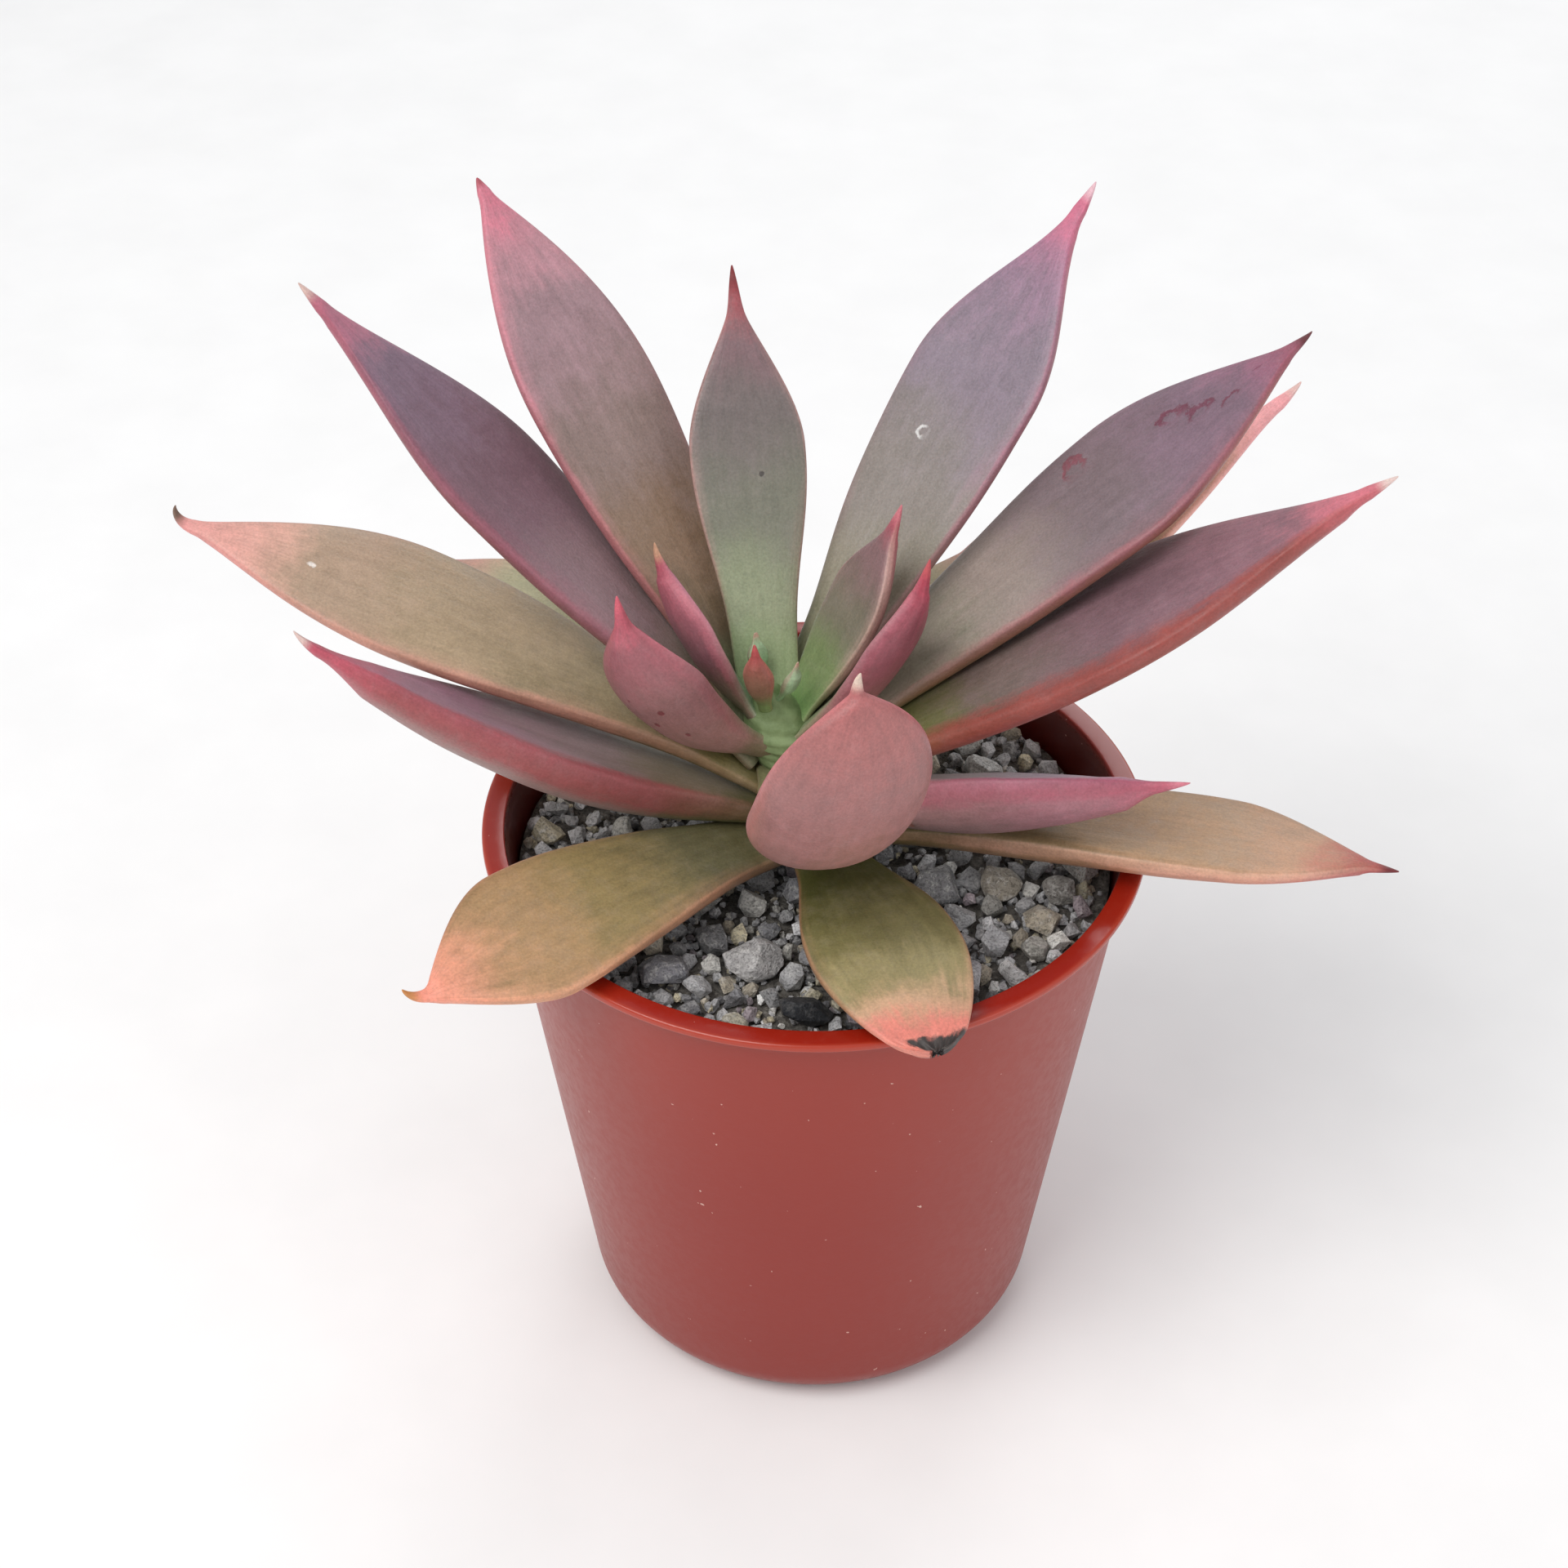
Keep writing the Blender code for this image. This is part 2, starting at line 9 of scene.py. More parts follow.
import bmesh
import bpy
import numpy as np
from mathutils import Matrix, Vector


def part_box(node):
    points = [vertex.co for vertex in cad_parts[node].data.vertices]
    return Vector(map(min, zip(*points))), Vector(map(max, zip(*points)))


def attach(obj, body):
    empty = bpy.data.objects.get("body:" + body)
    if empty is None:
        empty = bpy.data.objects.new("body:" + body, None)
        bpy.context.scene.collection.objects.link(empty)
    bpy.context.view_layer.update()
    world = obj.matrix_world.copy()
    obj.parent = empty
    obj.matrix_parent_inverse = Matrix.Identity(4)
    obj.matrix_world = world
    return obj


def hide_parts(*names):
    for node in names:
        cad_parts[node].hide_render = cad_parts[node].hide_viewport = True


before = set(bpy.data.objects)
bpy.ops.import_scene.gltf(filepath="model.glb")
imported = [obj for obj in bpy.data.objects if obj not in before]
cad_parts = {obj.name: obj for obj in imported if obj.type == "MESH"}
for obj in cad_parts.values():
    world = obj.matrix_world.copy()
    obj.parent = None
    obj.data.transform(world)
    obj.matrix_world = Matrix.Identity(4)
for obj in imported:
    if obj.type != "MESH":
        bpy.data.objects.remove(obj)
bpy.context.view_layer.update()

MM = 0.001


# Small helpers for materials


def tone(red, green, blue):
    """A colour given as it looks on a screen, 0 to 255, as the linear values that a shader takes."""
    share = np.array([red, green, blue]) / 255.0
    return tuple(np.where(share <= 0.04045, share / 12.92, ((share + 0.055) / 1.055) ** 2.4)) + (1.0,)


def put(tree, kind, **inputs):
    """A node of the tree, with each named input joined to a socket or set to a value."""
    made = tree.nodes.new("ShaderNode" + kind)
    for name, value in inputs.items():
        fill(tree, made.inputs[name.replace("_", " ")], value)
    return made


def fill(tree, socket, value):
    if isinstance(value, bpy.types.NodeSocket):
        tree.links.new(value, socket)
    else:
        socket.default_value = value


def maths(tree, operation, first, second=0.0):
    made = tree.nodes.new("ShaderNodeMath")
    made.operation = operation
    fill(tree, made.inputs[0], first)
    fill(tree, made.inputs[1], second)
    return made.outputs[0]


def summed(tree, *parts, extra=0.0):
    """The sum of the parts and the extra number. A part is a value, or a value and how much of it to take."""
    total = extra
    for part in parts:
        value = maths(tree, "MULTIPLY", *part) if isinstance(part, tuple) else part
        total = value if isinstance(total, float) and total == 0.0 else maths(tree, "ADD", value, total)
    return total


def centred(tree, value):
    return maths(tree, "SUBTRACT", value, 0.5)


def between(tree, value, low, high, to_low=0.0, to_high=1.0):
    """A soft step of the value from low to high."""
    made = put(tree, "MapRange", Value=value)
    made.interpolation_type = "SMOOTHSTEP"
    for name, number in (("From Min", low), ("From Max", high), ("To Min", to_low), ("To Max", to_high)):
        fill(tree, made.inputs[name], number)
    return made.outputs["Result"]


def blend_colours(tree, share, first, second, way="MIX"):
    made = tree.nodes.new("ShaderNodeMix")
    made.data_type = "RGBA"
    made.blend_type = way
    fill(tree, made.inputs[0], share)
    fill(tree, made.inputs[6], first)
    fill(tree, made.inputs[7], second)
    return made.outputs[2]


def ramp(tree, value, stops):
    """A run of colours, each given with its place from 0 to 1."""
    made = put(tree, "ValToRGB", Fac=value)
    elements = made.color_ramp.elements
    while len(elements) < len(stops):
        elements.new(1.0)
    for element, (place, colour) in zip(elements, stops):
        element.position = place
        element.color = tone(*colour)
    made.color_ramp.interpolation = "EASE"
    return made.outputs["Color"]


def noise(tree, where, scale, detail=3.0, roughness=0.55):
    made = put(tree, "TexNoise", Vector=where, Scale=scale, Detail=detail, Roughness=roughness)
    return made.outputs["Fac"]


def attribute(tree, name):
    made = put(tree, "Attribute")
    made.attribute_name = name
    return made


def place(tree):
    return put(tree, "TexCoord").outputs["Object"]


def finish_with_bump(tree, shader, height, strength, depth):
    bump = put(tree, "Bump", Height=height, Strength=strength, Distance=depth)
    tree.links.new(bump.outputs["Normal"], shader.inputs["Normal"])


def new_material(name):
    made = bpy.data.materials.new(name)
    made.use_nodes = True
    return made, made.node_tree, made.node_tree.nodes["Principled BSDF"]


# Small helpers for meshes


def add_piece(name, mesh, material, replaces=()):
    """An object at the origin that rides on the root body and stands for the named CAD nodes."""
    mesh.materials.append(material)
    piece = bpy.data.objects.new(name, mesh)
    bpy.context.scene.collection.objects.link(piece)
    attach(piece, "root")
    if replaces:
        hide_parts(*replaces)
    return piece


def mesh_of(name, points, faces, values=None, smooth=True):
    """A mesh of points and faces, with one number or colour per point for each named value."""
    mesh = bpy.data.meshes.new(name)
    mesh.from_pydata(points.tolist(), [], faces)
    for label, numbers in (values or {}).items():
        colour = numbers.ndim == 2
        made = mesh.attributes.new(label, "FLOAT_COLOR" if colour else "FLOAT", "POINT")
        flat = np.ascontiguousarray(numbers, np.float32).ravel()
        made.data.foreach_set("color" if colour else "value", flat)
    if smooth:
        mesh.shade_smooth()
    return mesh


def tube_faces(stations, sides):
    """Faces of a closed tube of rings, and of the two fans that close its ends."""
    first = (np.arange(stations - 1) * sides)[:, None]
    here = np.arange(sides)[None, :]
    onward = (here + 1) % sides
    walls = np.stack([first + here, first + onward, first + sides + onward, first + sides + here], -1)
    start, end = stations * sides, stations * sides + 1
    ring = np.arange(sides)
    opening = np.stack([(ring + 1) % sides, ring, np.full(sides, start)], -1)
    last = (stations - 1) * sides
    closing = np.stack([last + ring, last + (ring + 1) % sides, np.full(sides, end)], -1)
    return walls.reshape(-1, 4).tolist() + opening.tolist() + closing.tolist()


def tube_mesh(name, rings, values):
    """A mesh through the rings, closed by a point in the middle of each end, with its own unwrapping."""
    stations, sides = rings.shape[:2]
    points = np.concatenate([rings.reshape(-1, 3), rings[0].mean(0)[None], rings[-1].mean(0)[None]])
    full = {}
    for label, grid in values.items():
        ends = np.stack([grid[0].mean(0), grid[-1].mean(0)])
        full[label] = np.concatenate([grid.reshape(stations * sides, *grid.shape[2:]), ends])
    mesh = mesh_of(name, points, tube_faces(stations, sides), full)
    unwrap(mesh, stations, sides)
    return mesh


def unwrap(mesh, stations, sides):
    """The bake's map: round the tube along U, from end to end along V, and each end fan as a thin strip."""
    corner = np.empty(len(mesh.loops), np.int32)
    mesh.loops.foreach_get("vertex_index", corner)
    walls = (stations - 1) * sides * 4
    u = (corner % sides) / sides
    v = 0.02 + 0.96 * (corner // sides) / (stations - 1)
    quads = np.arange((stations - 1) * sides) % sides
    wrapped = np.repeat(quads == sides - 1, 4) & (corner[:walls] % sides == 0)
    u[:walls][wrapped] = 1.0
    fans = np.arange(2 * sides * 3) // 3
    tip = np.arange(2 * sides * 3) % 3 == 2
    side = fans % sides
    u[walls:] = np.where(corner[walls:] % sides == side, side, side + 1) / sides
    v[walls:] = np.where(fans < sides, 0.02, 0.98)
    u[walls:][tip] = (side[tip] + 0.5) / sides
    v[walls:][tip] = np.where(fans[tip] < sides, 0.0, 1.0)
    layer = mesh.uv_layers.new(name="OFBake")
    layer.data.foreach_set("uv", np.stack([u, v], -1).astype(np.float32).ravel())


# The plant's own measures

POT_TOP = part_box("pot")[1].z
RIM_RADIUS = 32.5
RIM_BAND = 2.2
RIM_GAP = 0.3  # between the rim and a leaf that rests on it
STEM_RADIUS = 2.4
STEM_TOP_RADIUS = 0.7
CROWN_TAPER_FROM = 11.0
CROWN_TOP = 16.5
STEM_FOOT = (-1.0, -0.3)
STEM_LEAN = 0.21
UPPER_SHARE = 0.3  # of a leaf's thickness that lies above its midrib
SHEATH_DEPTH = 2.0  # how far a leaf's base runs into the stem
SHEATH_LENGTH = 6.0  # and how far out its clasping flare fades
SHEATH_FLARE = 2.0
NEEDLE_WIDTH = 1.3  # of the hard point where it leaves the blade
NEEDLE_END = 0.12  # and where it ends
FLESHY_EDGE = 0.86  # powers of the cosine and the sine that make a section: 1 is an ellipse
FLESHY_FACE = 0.8
COARSE_WAVE = 0.010  # unevenness of the faces, as shares of half the width
FINE_WAVE = 0.006
MARGIN_WAVE = 0.012

STATIONS = 128  # rings along a leaf
AROUND = 72  # points in each ring
MIDRIB_STEPS = 600
RIM_TILT_LIMIT = 20.0  # degrees that a leaf's slope may be changed to rest on the rim


@dataclass
class Leaf:
    """One leaf. Lengths are in mm and angles in degrees; pairs are the values at the base and at the tip."""

    name: str
    turn: float
    height: float  # of its base above the pot's rim
    length: float
    width: float
    thickness: float
    rise: tuple
    swing: float = 0.0
    roll: tuple = (0.0, 0.0)
    widest: float = 0.58
    drawn_out: float = 0.3
    fullness: float = 1.75
    neck: float = 0.3
    point: float = 3.0
    blunt: bool = False
    on_rim: bool = False  # lies across the rim, so its slope is changed until it just rests there
    hook: float = 0.0  # degrees that the end curls up, or down where negative
    hook_turn: float = 0.0
    hook_length: float = 3.0
    cup: float = 0.10  # how far the margins stand up over the middle, as a share of the width
    upper: tuple = ()  # colours of the upper face from base to tip
    under: tuple = ()  # and of the underside
    # A margin's colour is mostly the leaf's own, but on two rim leaves it is a painted highlight along the
    # rounded edge.
    high_margin: tuple = ((170, 110, 110), 0.08, 0.6)  # anticlockwise margin: colour, width, strength
    low_margin: tuple = ((170, 110, 110), 0.08, 0.6)  # clockwise margin
    tip: tuple = ((190, 110, 120), 0.85)  # colour, and where it begins
    dried: tuple = (200, 170, 150)  # colour of the hard point
    bloom: float = 0.08  # how much of the pale wax shows
    marks: tuple = ()  # spots: place along, place across, radius in mm, colour, ring or not


BUD_FACE = ((0, (140, 176, 130)), (1, (172, 196, 160)))
BUD_SKIN = {"upper": BUD_FACE, "under": BUD_FACE, "tip": ((204, 186, 160), 0.8), "dried": (206, 170, 150)}

LEAVES = [
    Leaf("leaf_low_back_left", 141, 0.5, 47, 15, 3.6, (21, 4), swing=4, widest=0.7, drawn_out=0,
         fullness=2.2,
         upper=((0, (110, 100, 65)), (0.4, (140, 138, 100)), (0.8, (172, 168, 134)), (1, (180, 165, 135))),
         under=((0, (95, 96, 60)), (0.6, (150, 130, 100)), (1, (160, 130, 105))),
         high_margin=((190, 130, 105), 0.05, 0.7),
         low_margin=((185, 120, 100), 0.05, 0.7)),
    Leaf("leaf_rim_front_left", 222, -0.4, 44.5, 14.5, 4.6, (14, -15), swing=-3, roll=(-8, -18),
         widest=0.72, drawn_out=0.1, on_rim=True, hook=70, hook_turn=-30, hook_length=4, cup=0.06,
         upper=((0, (98, 92, 60)), (0.25, (102, 98, 70)), (0.5, (140, 122, 80)), (0.72, (162, 130, 92)),
                (0.9, (198, 142, 110)), (1, (240, 152, 134))),
         under=((0, (80, 78, 50)), (0.5, (150, 122, 84)), (0.8, (196, 150, 112)), (1, (240, 170, 150))),
         # The near margin's pale pink line is a painted highlight along its rounded edge.
         high_margin=((226, 158, 128), 0.09, 0.75),
         low_margin=((176, 112, 88), 0.06, 0.7),
         tip=((242, 150, 130), 0.86),
         dried=(196, 132, 74)),
    Leaf("leaf_torn_front", 289, -1, 33.5, 14.5, 4, (16, -10), widest=0.64, fullness=4, neck=0.25, point=1,
         blunt=True, on_rim=True, cup=0.03,
         upper=((0, (80, 84, 38)), (0.3, (84, 84, 42)), (0.55, (122, 116, 74)), (0.72, (150, 140, 98)),
                (0.84, (196, 160, 128)), (0.93, (216, 130, 116)), (1, (222, 140, 120))),
         under=((0, (66, 68, 32)), (0.5, (118, 108, 70)), (0.8, (165, 140, 104)), (1, (216, 140, 118))),
         high_margin=((196, 134, 112), 0.05, 0.7),
         low_margin=((190, 128, 104), 0.05, 0.7),
         tip=((222, 130, 116), 0.88),
         dried=(60, 54, 52)),
    Leaf("leaf_rim_right", 351, 0.3, 54.5, 13.5, 4.2, (11, -6), swing=-3, roll=(0, -12), neck=0.25,
         widest=0.75, drawn_out=0.1, on_rim=True, cup=0.08,
         upper=((0, (120, 112, 70)), (0.3, (140, 122, 88)), (0.6, (166, 136, 104)),
                (0.85, (180, 142, 114)), (1, (176, 96, 88))),
         under=((0, (118, 104, 64)), (0.35, (166, 128, 96)), (0.7, (196, 134, 112)), (1, (180, 92, 88))),
         high_margin=((160, 110, 84), 0.05, 0.6),
         # The near margin's pinkish-white line is a painted highlight along its rounded edge.
         low_margin=((222, 170, 148), 0.04, 0.8),
         tip=((158, 70, 72), 0.93),
         dried=(110, 34, 40)),
    Leaf("leaf_low_back_right", 62, 1.5, 37, 12, 3.6, (16, 10), fullness=2.5,
         upper=((0, (110, 112, 74)), (0.5, (136, 132, 100)), (1, (160, 146, 118))),
         under=((0, (92, 92, 60)), (0.6, (140, 122, 94)), (1, (165, 130, 110)))),
    Leaf("leaf_keeled_left", 192, 3, 50, 13, 5.2, (20, 40), swing=-4, roll=(8, 22), widest=0.5,
         drawn_out=0.4, cup=0.2, hook=18,
         upper=((0, (98, 100, 60)), (0.18, (132, 120, 100)), (0.4, (150, 130, 132)),
                (0.7, (152, 116, 132)), (1, (160, 96, 110))),
         under=((0, (88, 96, 54)), (0.14, (120, 118, 84)), (0.35, (146, 124, 118)), (0.6, (154, 124, 120)),
                (0.85, (164, 116, 116)), (1, (190, 110, 120))),
         high_margin=((150, 68, 72), 0.26, 1.4),
         low_margin=((150, 88, 94), 0.06, 0.6),
         tip=((196, 84, 106), 0.84),
         dried=(214, 186, 180)),
    Leaf("leaf_tan_left", 173, 6.2, 61, 14.5, 3.9, (31, 15), roll=(2, -16), widest=0.62, drawn_out=0.2,
         hook=95, cup=0.06,
         upper=((0, (124, 118, 70)), (0.25, (152, 138, 108)), (0.5, (170, 150, 122)),
                (0.72, (170, 146, 124)), (0.88, (196, 158, 138)), (1, (226, 160, 156))),
         under=((0, (110, 104, 66)), (0.5, (160, 132, 106)), (1, (214, 150, 138))),
         high_margin=((202, 132, 120), 0.09, 0.75),
         low_margin=((170, 122, 108), 0.05, 0.6),
         tip=((228, 150, 150), 0.82),
         dried=(120, 96, 82),
         marks=((0.76, 0.1, 0.5, (236, 230, 224), False),)),
    Leaf("leaf_pink_right", 342, 4.6, 36.5, 11.5, 5.2, (12, 19), roll=(-28, -40), cup=0.22,
         upper=((0, (120, 112, 84)), (0.3, (150, 132, 132)), (0.6, (154, 130, 146)),
                (0.85, (160, 104, 126)), (1, (190, 100, 120))),
         under=((0, (128, 118, 88)), (0.12, (160, 138, 124)), (0.4, (160, 124, 124)),
                (0.7, (158, 110, 118)), (1, (178, 98, 112))),
         high_margin=((150, 100, 130), 0.1, 0.5),
         low_margin=((160, 80, 96), 0.12, 1.1),
         tip=((178, 86, 106), 0.84),
         dried=(206, 120, 136),
         marks=((0.2, -0.3, 0.9, (150, 96, 84), False), (0.26, -0.55, 0.6, (156, 100, 88), False),
                (0.16, -0.6, 0.5, (150, 92, 80), False))),
    Leaf("leaf_behind_right", 30, 5.2, 60.5, 11, 3, (26, 27), neck=0.25, hook=14,
         upper=((0, (110, 112, 66)), (0.4, (146, 128, 98)), (0.7, (196, 160, 132)), (1, (226, 160, 160))),
         under=((0, (110, 108, 64)), (0.35, (150, 132, 88)), (0.6, (206, 172, 140)),
                (0.85, (226, 172, 166)), (1, (232, 166, 170))),
         high_margin=((206, 130, 120), 0.08, 0.6),
         low_margin=((224, 150, 146), 0.08, 0.7),
         tip=((232, 160, 166), 0.85),
         dried=(226, 190, 184)),
    Leaf("leaf_red_edged_right", 357, 7.5, 61, 17.5, 4.4, (34, 35), widest=0.54, drawn_out=0.4, neck=0.4,
         cup=0.05,
         upper=((0, (106, 122, 62)), (0.14, (112, 114, 68)), (0.3, (120, 104, 98)),
                (0.55, (126, 96, 104)), (0.78, (136, 98, 108)), (0.92, (186, 110, 122)),
                (1, (216, 130, 138))),
         under=((0, (104, 110, 58)), (0.16, (128, 108, 84)), (0.4, (168, 132, 130)),
                (0.8, (186, 138, 142)), (1, (210, 140, 146))),
         high_margin=((170, 96, 106), 0.06, 0.6),
         low_margin=((146, 64, 54), 0.34, 1.5),
         tip=((214, 112, 126), 0.88),
         dried=(222, 196, 190)),
    Leaf("leaf_purple_left", 159, 9.2, 60, 14, 3.6, (43, 44), swing=5, widest=0.6,
         upper=((0, (136, 140, 108)), (0.16, (150, 136, 128)), (0.34, (146, 122, 126)),
                (0.55, (120, 92, 102)), (0.8, (122, 100, 116)), (0.93, (156, 104, 122)),
                (1, (196, 110, 130))),
         under=((0, (124, 120, 90)), (0.5, (130, 100, 104)), (1, (170, 106, 122))),
         high_margin=((152, 76, 92), 0.12, 0.85),
         low_margin=((150, 98, 110), 0.05, 0.6),
         tip=((180, 96, 116), 0.92),
         dried=(212, 180, 172)),
    Leaf("leaf_scarred_right", 17, 10.1, 59.5, 17, 3.8, (38, 37), widest=0.66, drawn_out=0.1,
         hook=20, hook_turn=-40, cup=0.06,
         upper=((0, (126, 142, 100)), (0.16, (158, 156, 136)), (0.34, (156, 142, 134)),
                (0.55, (124, 108, 112)), (0.78, (124, 100, 114)), (0.94, (142, 96, 116)),
                (1, (150, 84, 100))),
         under=((0, (120, 126, 84)), (0.3, (158, 138, 100)), (0.6, (166, 136, 108)), (1, (150, 92, 100))),
         high_margin=((150, 100, 112), 0.05, 0.6),
         low_margin=((162, 78, 84), 0.1, 0.8),
         tip=((140, 76, 96), 0.95),
         dried=(96, 44, 50),
         marks=((0.75, 0.3, 1.4, (112, 50, 70), True), (0.79, 0.05, 1.5, (110, 50, 70), True),
                (0.84, -0.2, 1.1, (114, 54, 74), True), (0.58, 0.6, 1.7, (130, 66, 78), True),
                (0.9, 0.1, 0.5, (120, 60, 84), False))),
    Leaf("leaf_upper_left", 132, 12.2, 56, 14.5, 3.8, (46, 52), swing=8, widest=0.6, drawn_out=0,
         fullness=2.1, point=1.5,
         upper=((0, (130, 136, 104)), (0.14, (122, 104, 82)), (0.32, (136, 112, 92)),
                (0.5, (138, 118, 112)), (0.75, (156, 126, 132)), (0.92, (182, 132, 142)),
                (1, (206, 124, 140))),
         under=((0, (124, 110, 80)), (0.5, (146, 112, 102)), (1, (190, 124, 134))),
         high_margin=((202, 112, 128), 0.08, 0.7),
         low_margin=((176, 112, 116), 0.06, 0.65),
         tip=((206, 112, 132), 0.93),
         dried=(168, 80, 92)),
    Leaf("leaf_upper_right", 50, 12.2, 56.5, 15.5, 3.8, (46, 49), swing=-12, widest=0.64, drawn_out=0.6,
         hook=10, hook_turn=-12,
         upper=((0, (124, 132, 96)), (0.2, (148, 142, 124)), (0.4, (138, 130, 124)),
                (0.65, (134, 120, 132)), (0.85, (154, 120, 142)), (1, (196, 116, 140))),
         under=((0, (116, 116, 84)), (0.5, (146, 116, 112)), (1, (190, 110, 130))),
         high_margin=((166, 106, 118), 0.05, 0.65),
         low_margin=((178, 104, 122), 0.06, 0.7),
         tip=((204, 102, 130), 0.86),
         dried=(222, 180, 190),
         marks=((0.5, 0.25, 0.75, (226, 224, 222), True),)),
    Leaf("leaf_front_incurved", 276, 7, 45, 15.5, 4.4, (4, 100), swing=22, roll=(-5, -5), widest=0.6,
         drawn_out=0, fullness=4, cup=0.2, hook=-40,
         upper=((0, (128, 130, 90)), (0.4, (166, 134, 128)), (1, (196, 120, 124))),
         under=((0, (110, 104, 70)), (0.2, (136, 102, 86)), (0.4, (158, 112, 106)), (0.7, (158, 108, 106)),
                (0.9, (168, 106, 104)), (1, (180, 108, 110))),
         high_margin=((184, 104, 108), 0.06, 0.7),
         low_margin=((184, 112, 112), 0.06, 0.6),
         tip=((190, 106, 108), 0.92),
         dried=(226, 202, 186)),
    Leaf("leaf_inner_spotted", 204, 11, 24.5, 10.5, 3.8, (32, 84), roll=(35, 45), cup=0.2,
         upper=((0, (132, 138, 104)), (0.5, (160, 128, 128)), (1, (190, 100, 116))),
         under=((0, (130, 116, 92)), (0.2, (162, 122, 116)), (0.5, (146, 104, 104)),
                (0.8, (152, 90, 98)), (1, (206, 84, 108))),
         high_margin=((156, 82, 92), 0.08, 0.75),
         low_margin=((160, 96, 104), 0.06, 0.6),
         tip=((184, 90, 104), 0.84),
         dried=(206, 96, 112),
         marks=((0.42, -0.1, 0.42, (120, 50, 60), False), (0.5, 0.25, 0.34, (116, 48, 58), False),
                (0.34, 0.35, 0.3, (120, 54, 62), False), (0.56, -0.3, 0.28, (122, 50, 62), False),
                (0.36, -0.45, 0.34, (118, 50, 60), False))),
    Leaf("leaf_inner_maroon", 346, 12.3, 24, 8.5, 2.8, (46, 78), roll=(-10, -25), cup=0.2,
         upper=((0, (136, 146, 110)), (0.5, (150, 120, 122)), (1, (180, 90, 104))),
         under=((0, (122, 118, 86)), (0.25, (140, 96, 94)), (0.6, (142, 78, 88)), (1, (170, 70, 88))),
         high_margin=((190, 110, 124), 0.1, 0.75),
         low_margin=((184, 108, 122), 0.1, 0.7),
         tip=((192, 66, 86), 0.84),
         dried=(196, 90, 96)),
    Leaf("leaf_back_centre", 100, 14.6, 39.5, 11, 3.4, (54, 61), widest=0.62, drawn_out=0.3, neck=0.34,
         point=4,
         upper=((0, (160, 178, 134)), (0.2, (150, 158, 128)), (0.42, (120, 120, 106)),
                (0.65, (114, 104, 102)), (0.85, (120, 94, 98)), (1, (150, 80, 86))),
         under=((0, (130, 140, 96)), (0.5, (136, 118, 104)), (1, (160, 84, 92))),
         high_margin=((200, 152, 146), 0.06, 0.8),
         low_margin=((206, 158, 150), 0.06, 0.8),
         tip=((162, 62, 70), 0.9),
         dried=(120, 40, 44),
         marks=((0.5, -0.2, 0.3, (50, 46, 46), False),)),
    Leaf("leaf_inner_left", 168, 14, 19, 8, 2.6, (56, 68), roll=(25, 45), cup=0.22, hook=12,
         upper=((0, (148, 172, 140)), (0.3, (152, 152, 146)), (0.7, (146, 122, 132)), (1, (170, 96, 110))),
         under=((0, (136, 130, 108)), (0.4, (136, 96, 104)), (1, (176, 84, 100))),
         high_margin=((196, 112, 126), 0.14, 0.8),
         low_margin=((190, 150, 150), 0.08, 0.7),
         tip=((182, 84, 98), 0.86),
         dried=(196, 150, 122)),
    Leaf("leaf_inner_right", 24, 13.8, 22, 8.5, 2.6, (56, 69), neck=0.35,
         upper=((0, (126, 160, 98)), (0.2, (120, 136, 92)), (0.45, (118, 112, 96)),
                (0.75, (132, 102, 104)), (1, (166, 84, 98))),
         under=((0, (122, 140, 92)), (0.4, (136, 112, 102)), (1, (170, 86, 98))),
         high_margin=((176, 120, 116), 0.06, 0.7),
         low_margin=((216, 176, 164), 0.08, 0.8),
         tip=((186, 76, 94), 0.86),
         dried=(206, 120, 130)),
    Leaf("leaf_young_pointed", 252, 15.5, 9, 2.6, 1.6, (66, 80), point=1.2,
         upper=((0, (128, 156, 96)), (0.5, (136, 118, 86)), (1, (160, 84, 80))),
         under=((0, (124, 148, 90)), (0.4, (140, 104, 84)), (1, (166, 78, 78))),
         high_margin=((190, 110, 100), 0.2, 0.8),
         low_margin=((190, 120, 106), 0.2, 0.8),
         tip=((186, 80, 84), 0.75),
         dried=(190, 90, 90)),
    Leaf("leaf_bud_left", 120, 16.4, 4.5, 1.8, 1.2, (72, 82), point=0.8, **BUD_SKIN),
    Leaf("leaf_bud_right", 320, 16, 5, 1.8, 1.2, (60, 75), point=0.8, **BUD_SKIN),
]


def stem_centre(height):
    """The stem's axis, which leans left by a fixed share of the height above the rim."""
    return np.array([STEM_FOOT[0] - STEM_LEAN * height, STEM_FOOT[1], POT_TOP / MM + height])


def stem_radius(height):
    above = (height - CROWN_TAPER_FROM) / (CROWN_TOP - CROWN_TAPER_FROM)
    return STEM_RADIUS + (STEM_TOP_RADIUS - STEM_RADIUS) * np.clip(above, 0, 1)


def along_pair(pair, s):
    return pair[0] + (pair[1] - pair[0]) * s


def blade_width(leaf, s):
    """Share of the greatest width: a sine grows it from the neck, then a power or a cosine closes it."""
    out = np.clip(s / leaf.widest, 0, 1)
    back = np.clip((s - leaf.widest) / (1 - leaf.widest), 0, 1)
    growing = leaf.neck + (1 - leaf.neck) * np.sin(np.pi / 2 * out) ** 1.35
    full = 1 - back**leaf.fullness
    if leaf.blunt:
        full = 0.55 + 0.45 * full
    drawn = 0.5 + 0.5 * np.cos(np.pi * back)
    return np.where(s < leaf.widest, growing, full + leaf.drawn_out * (drawn - full))


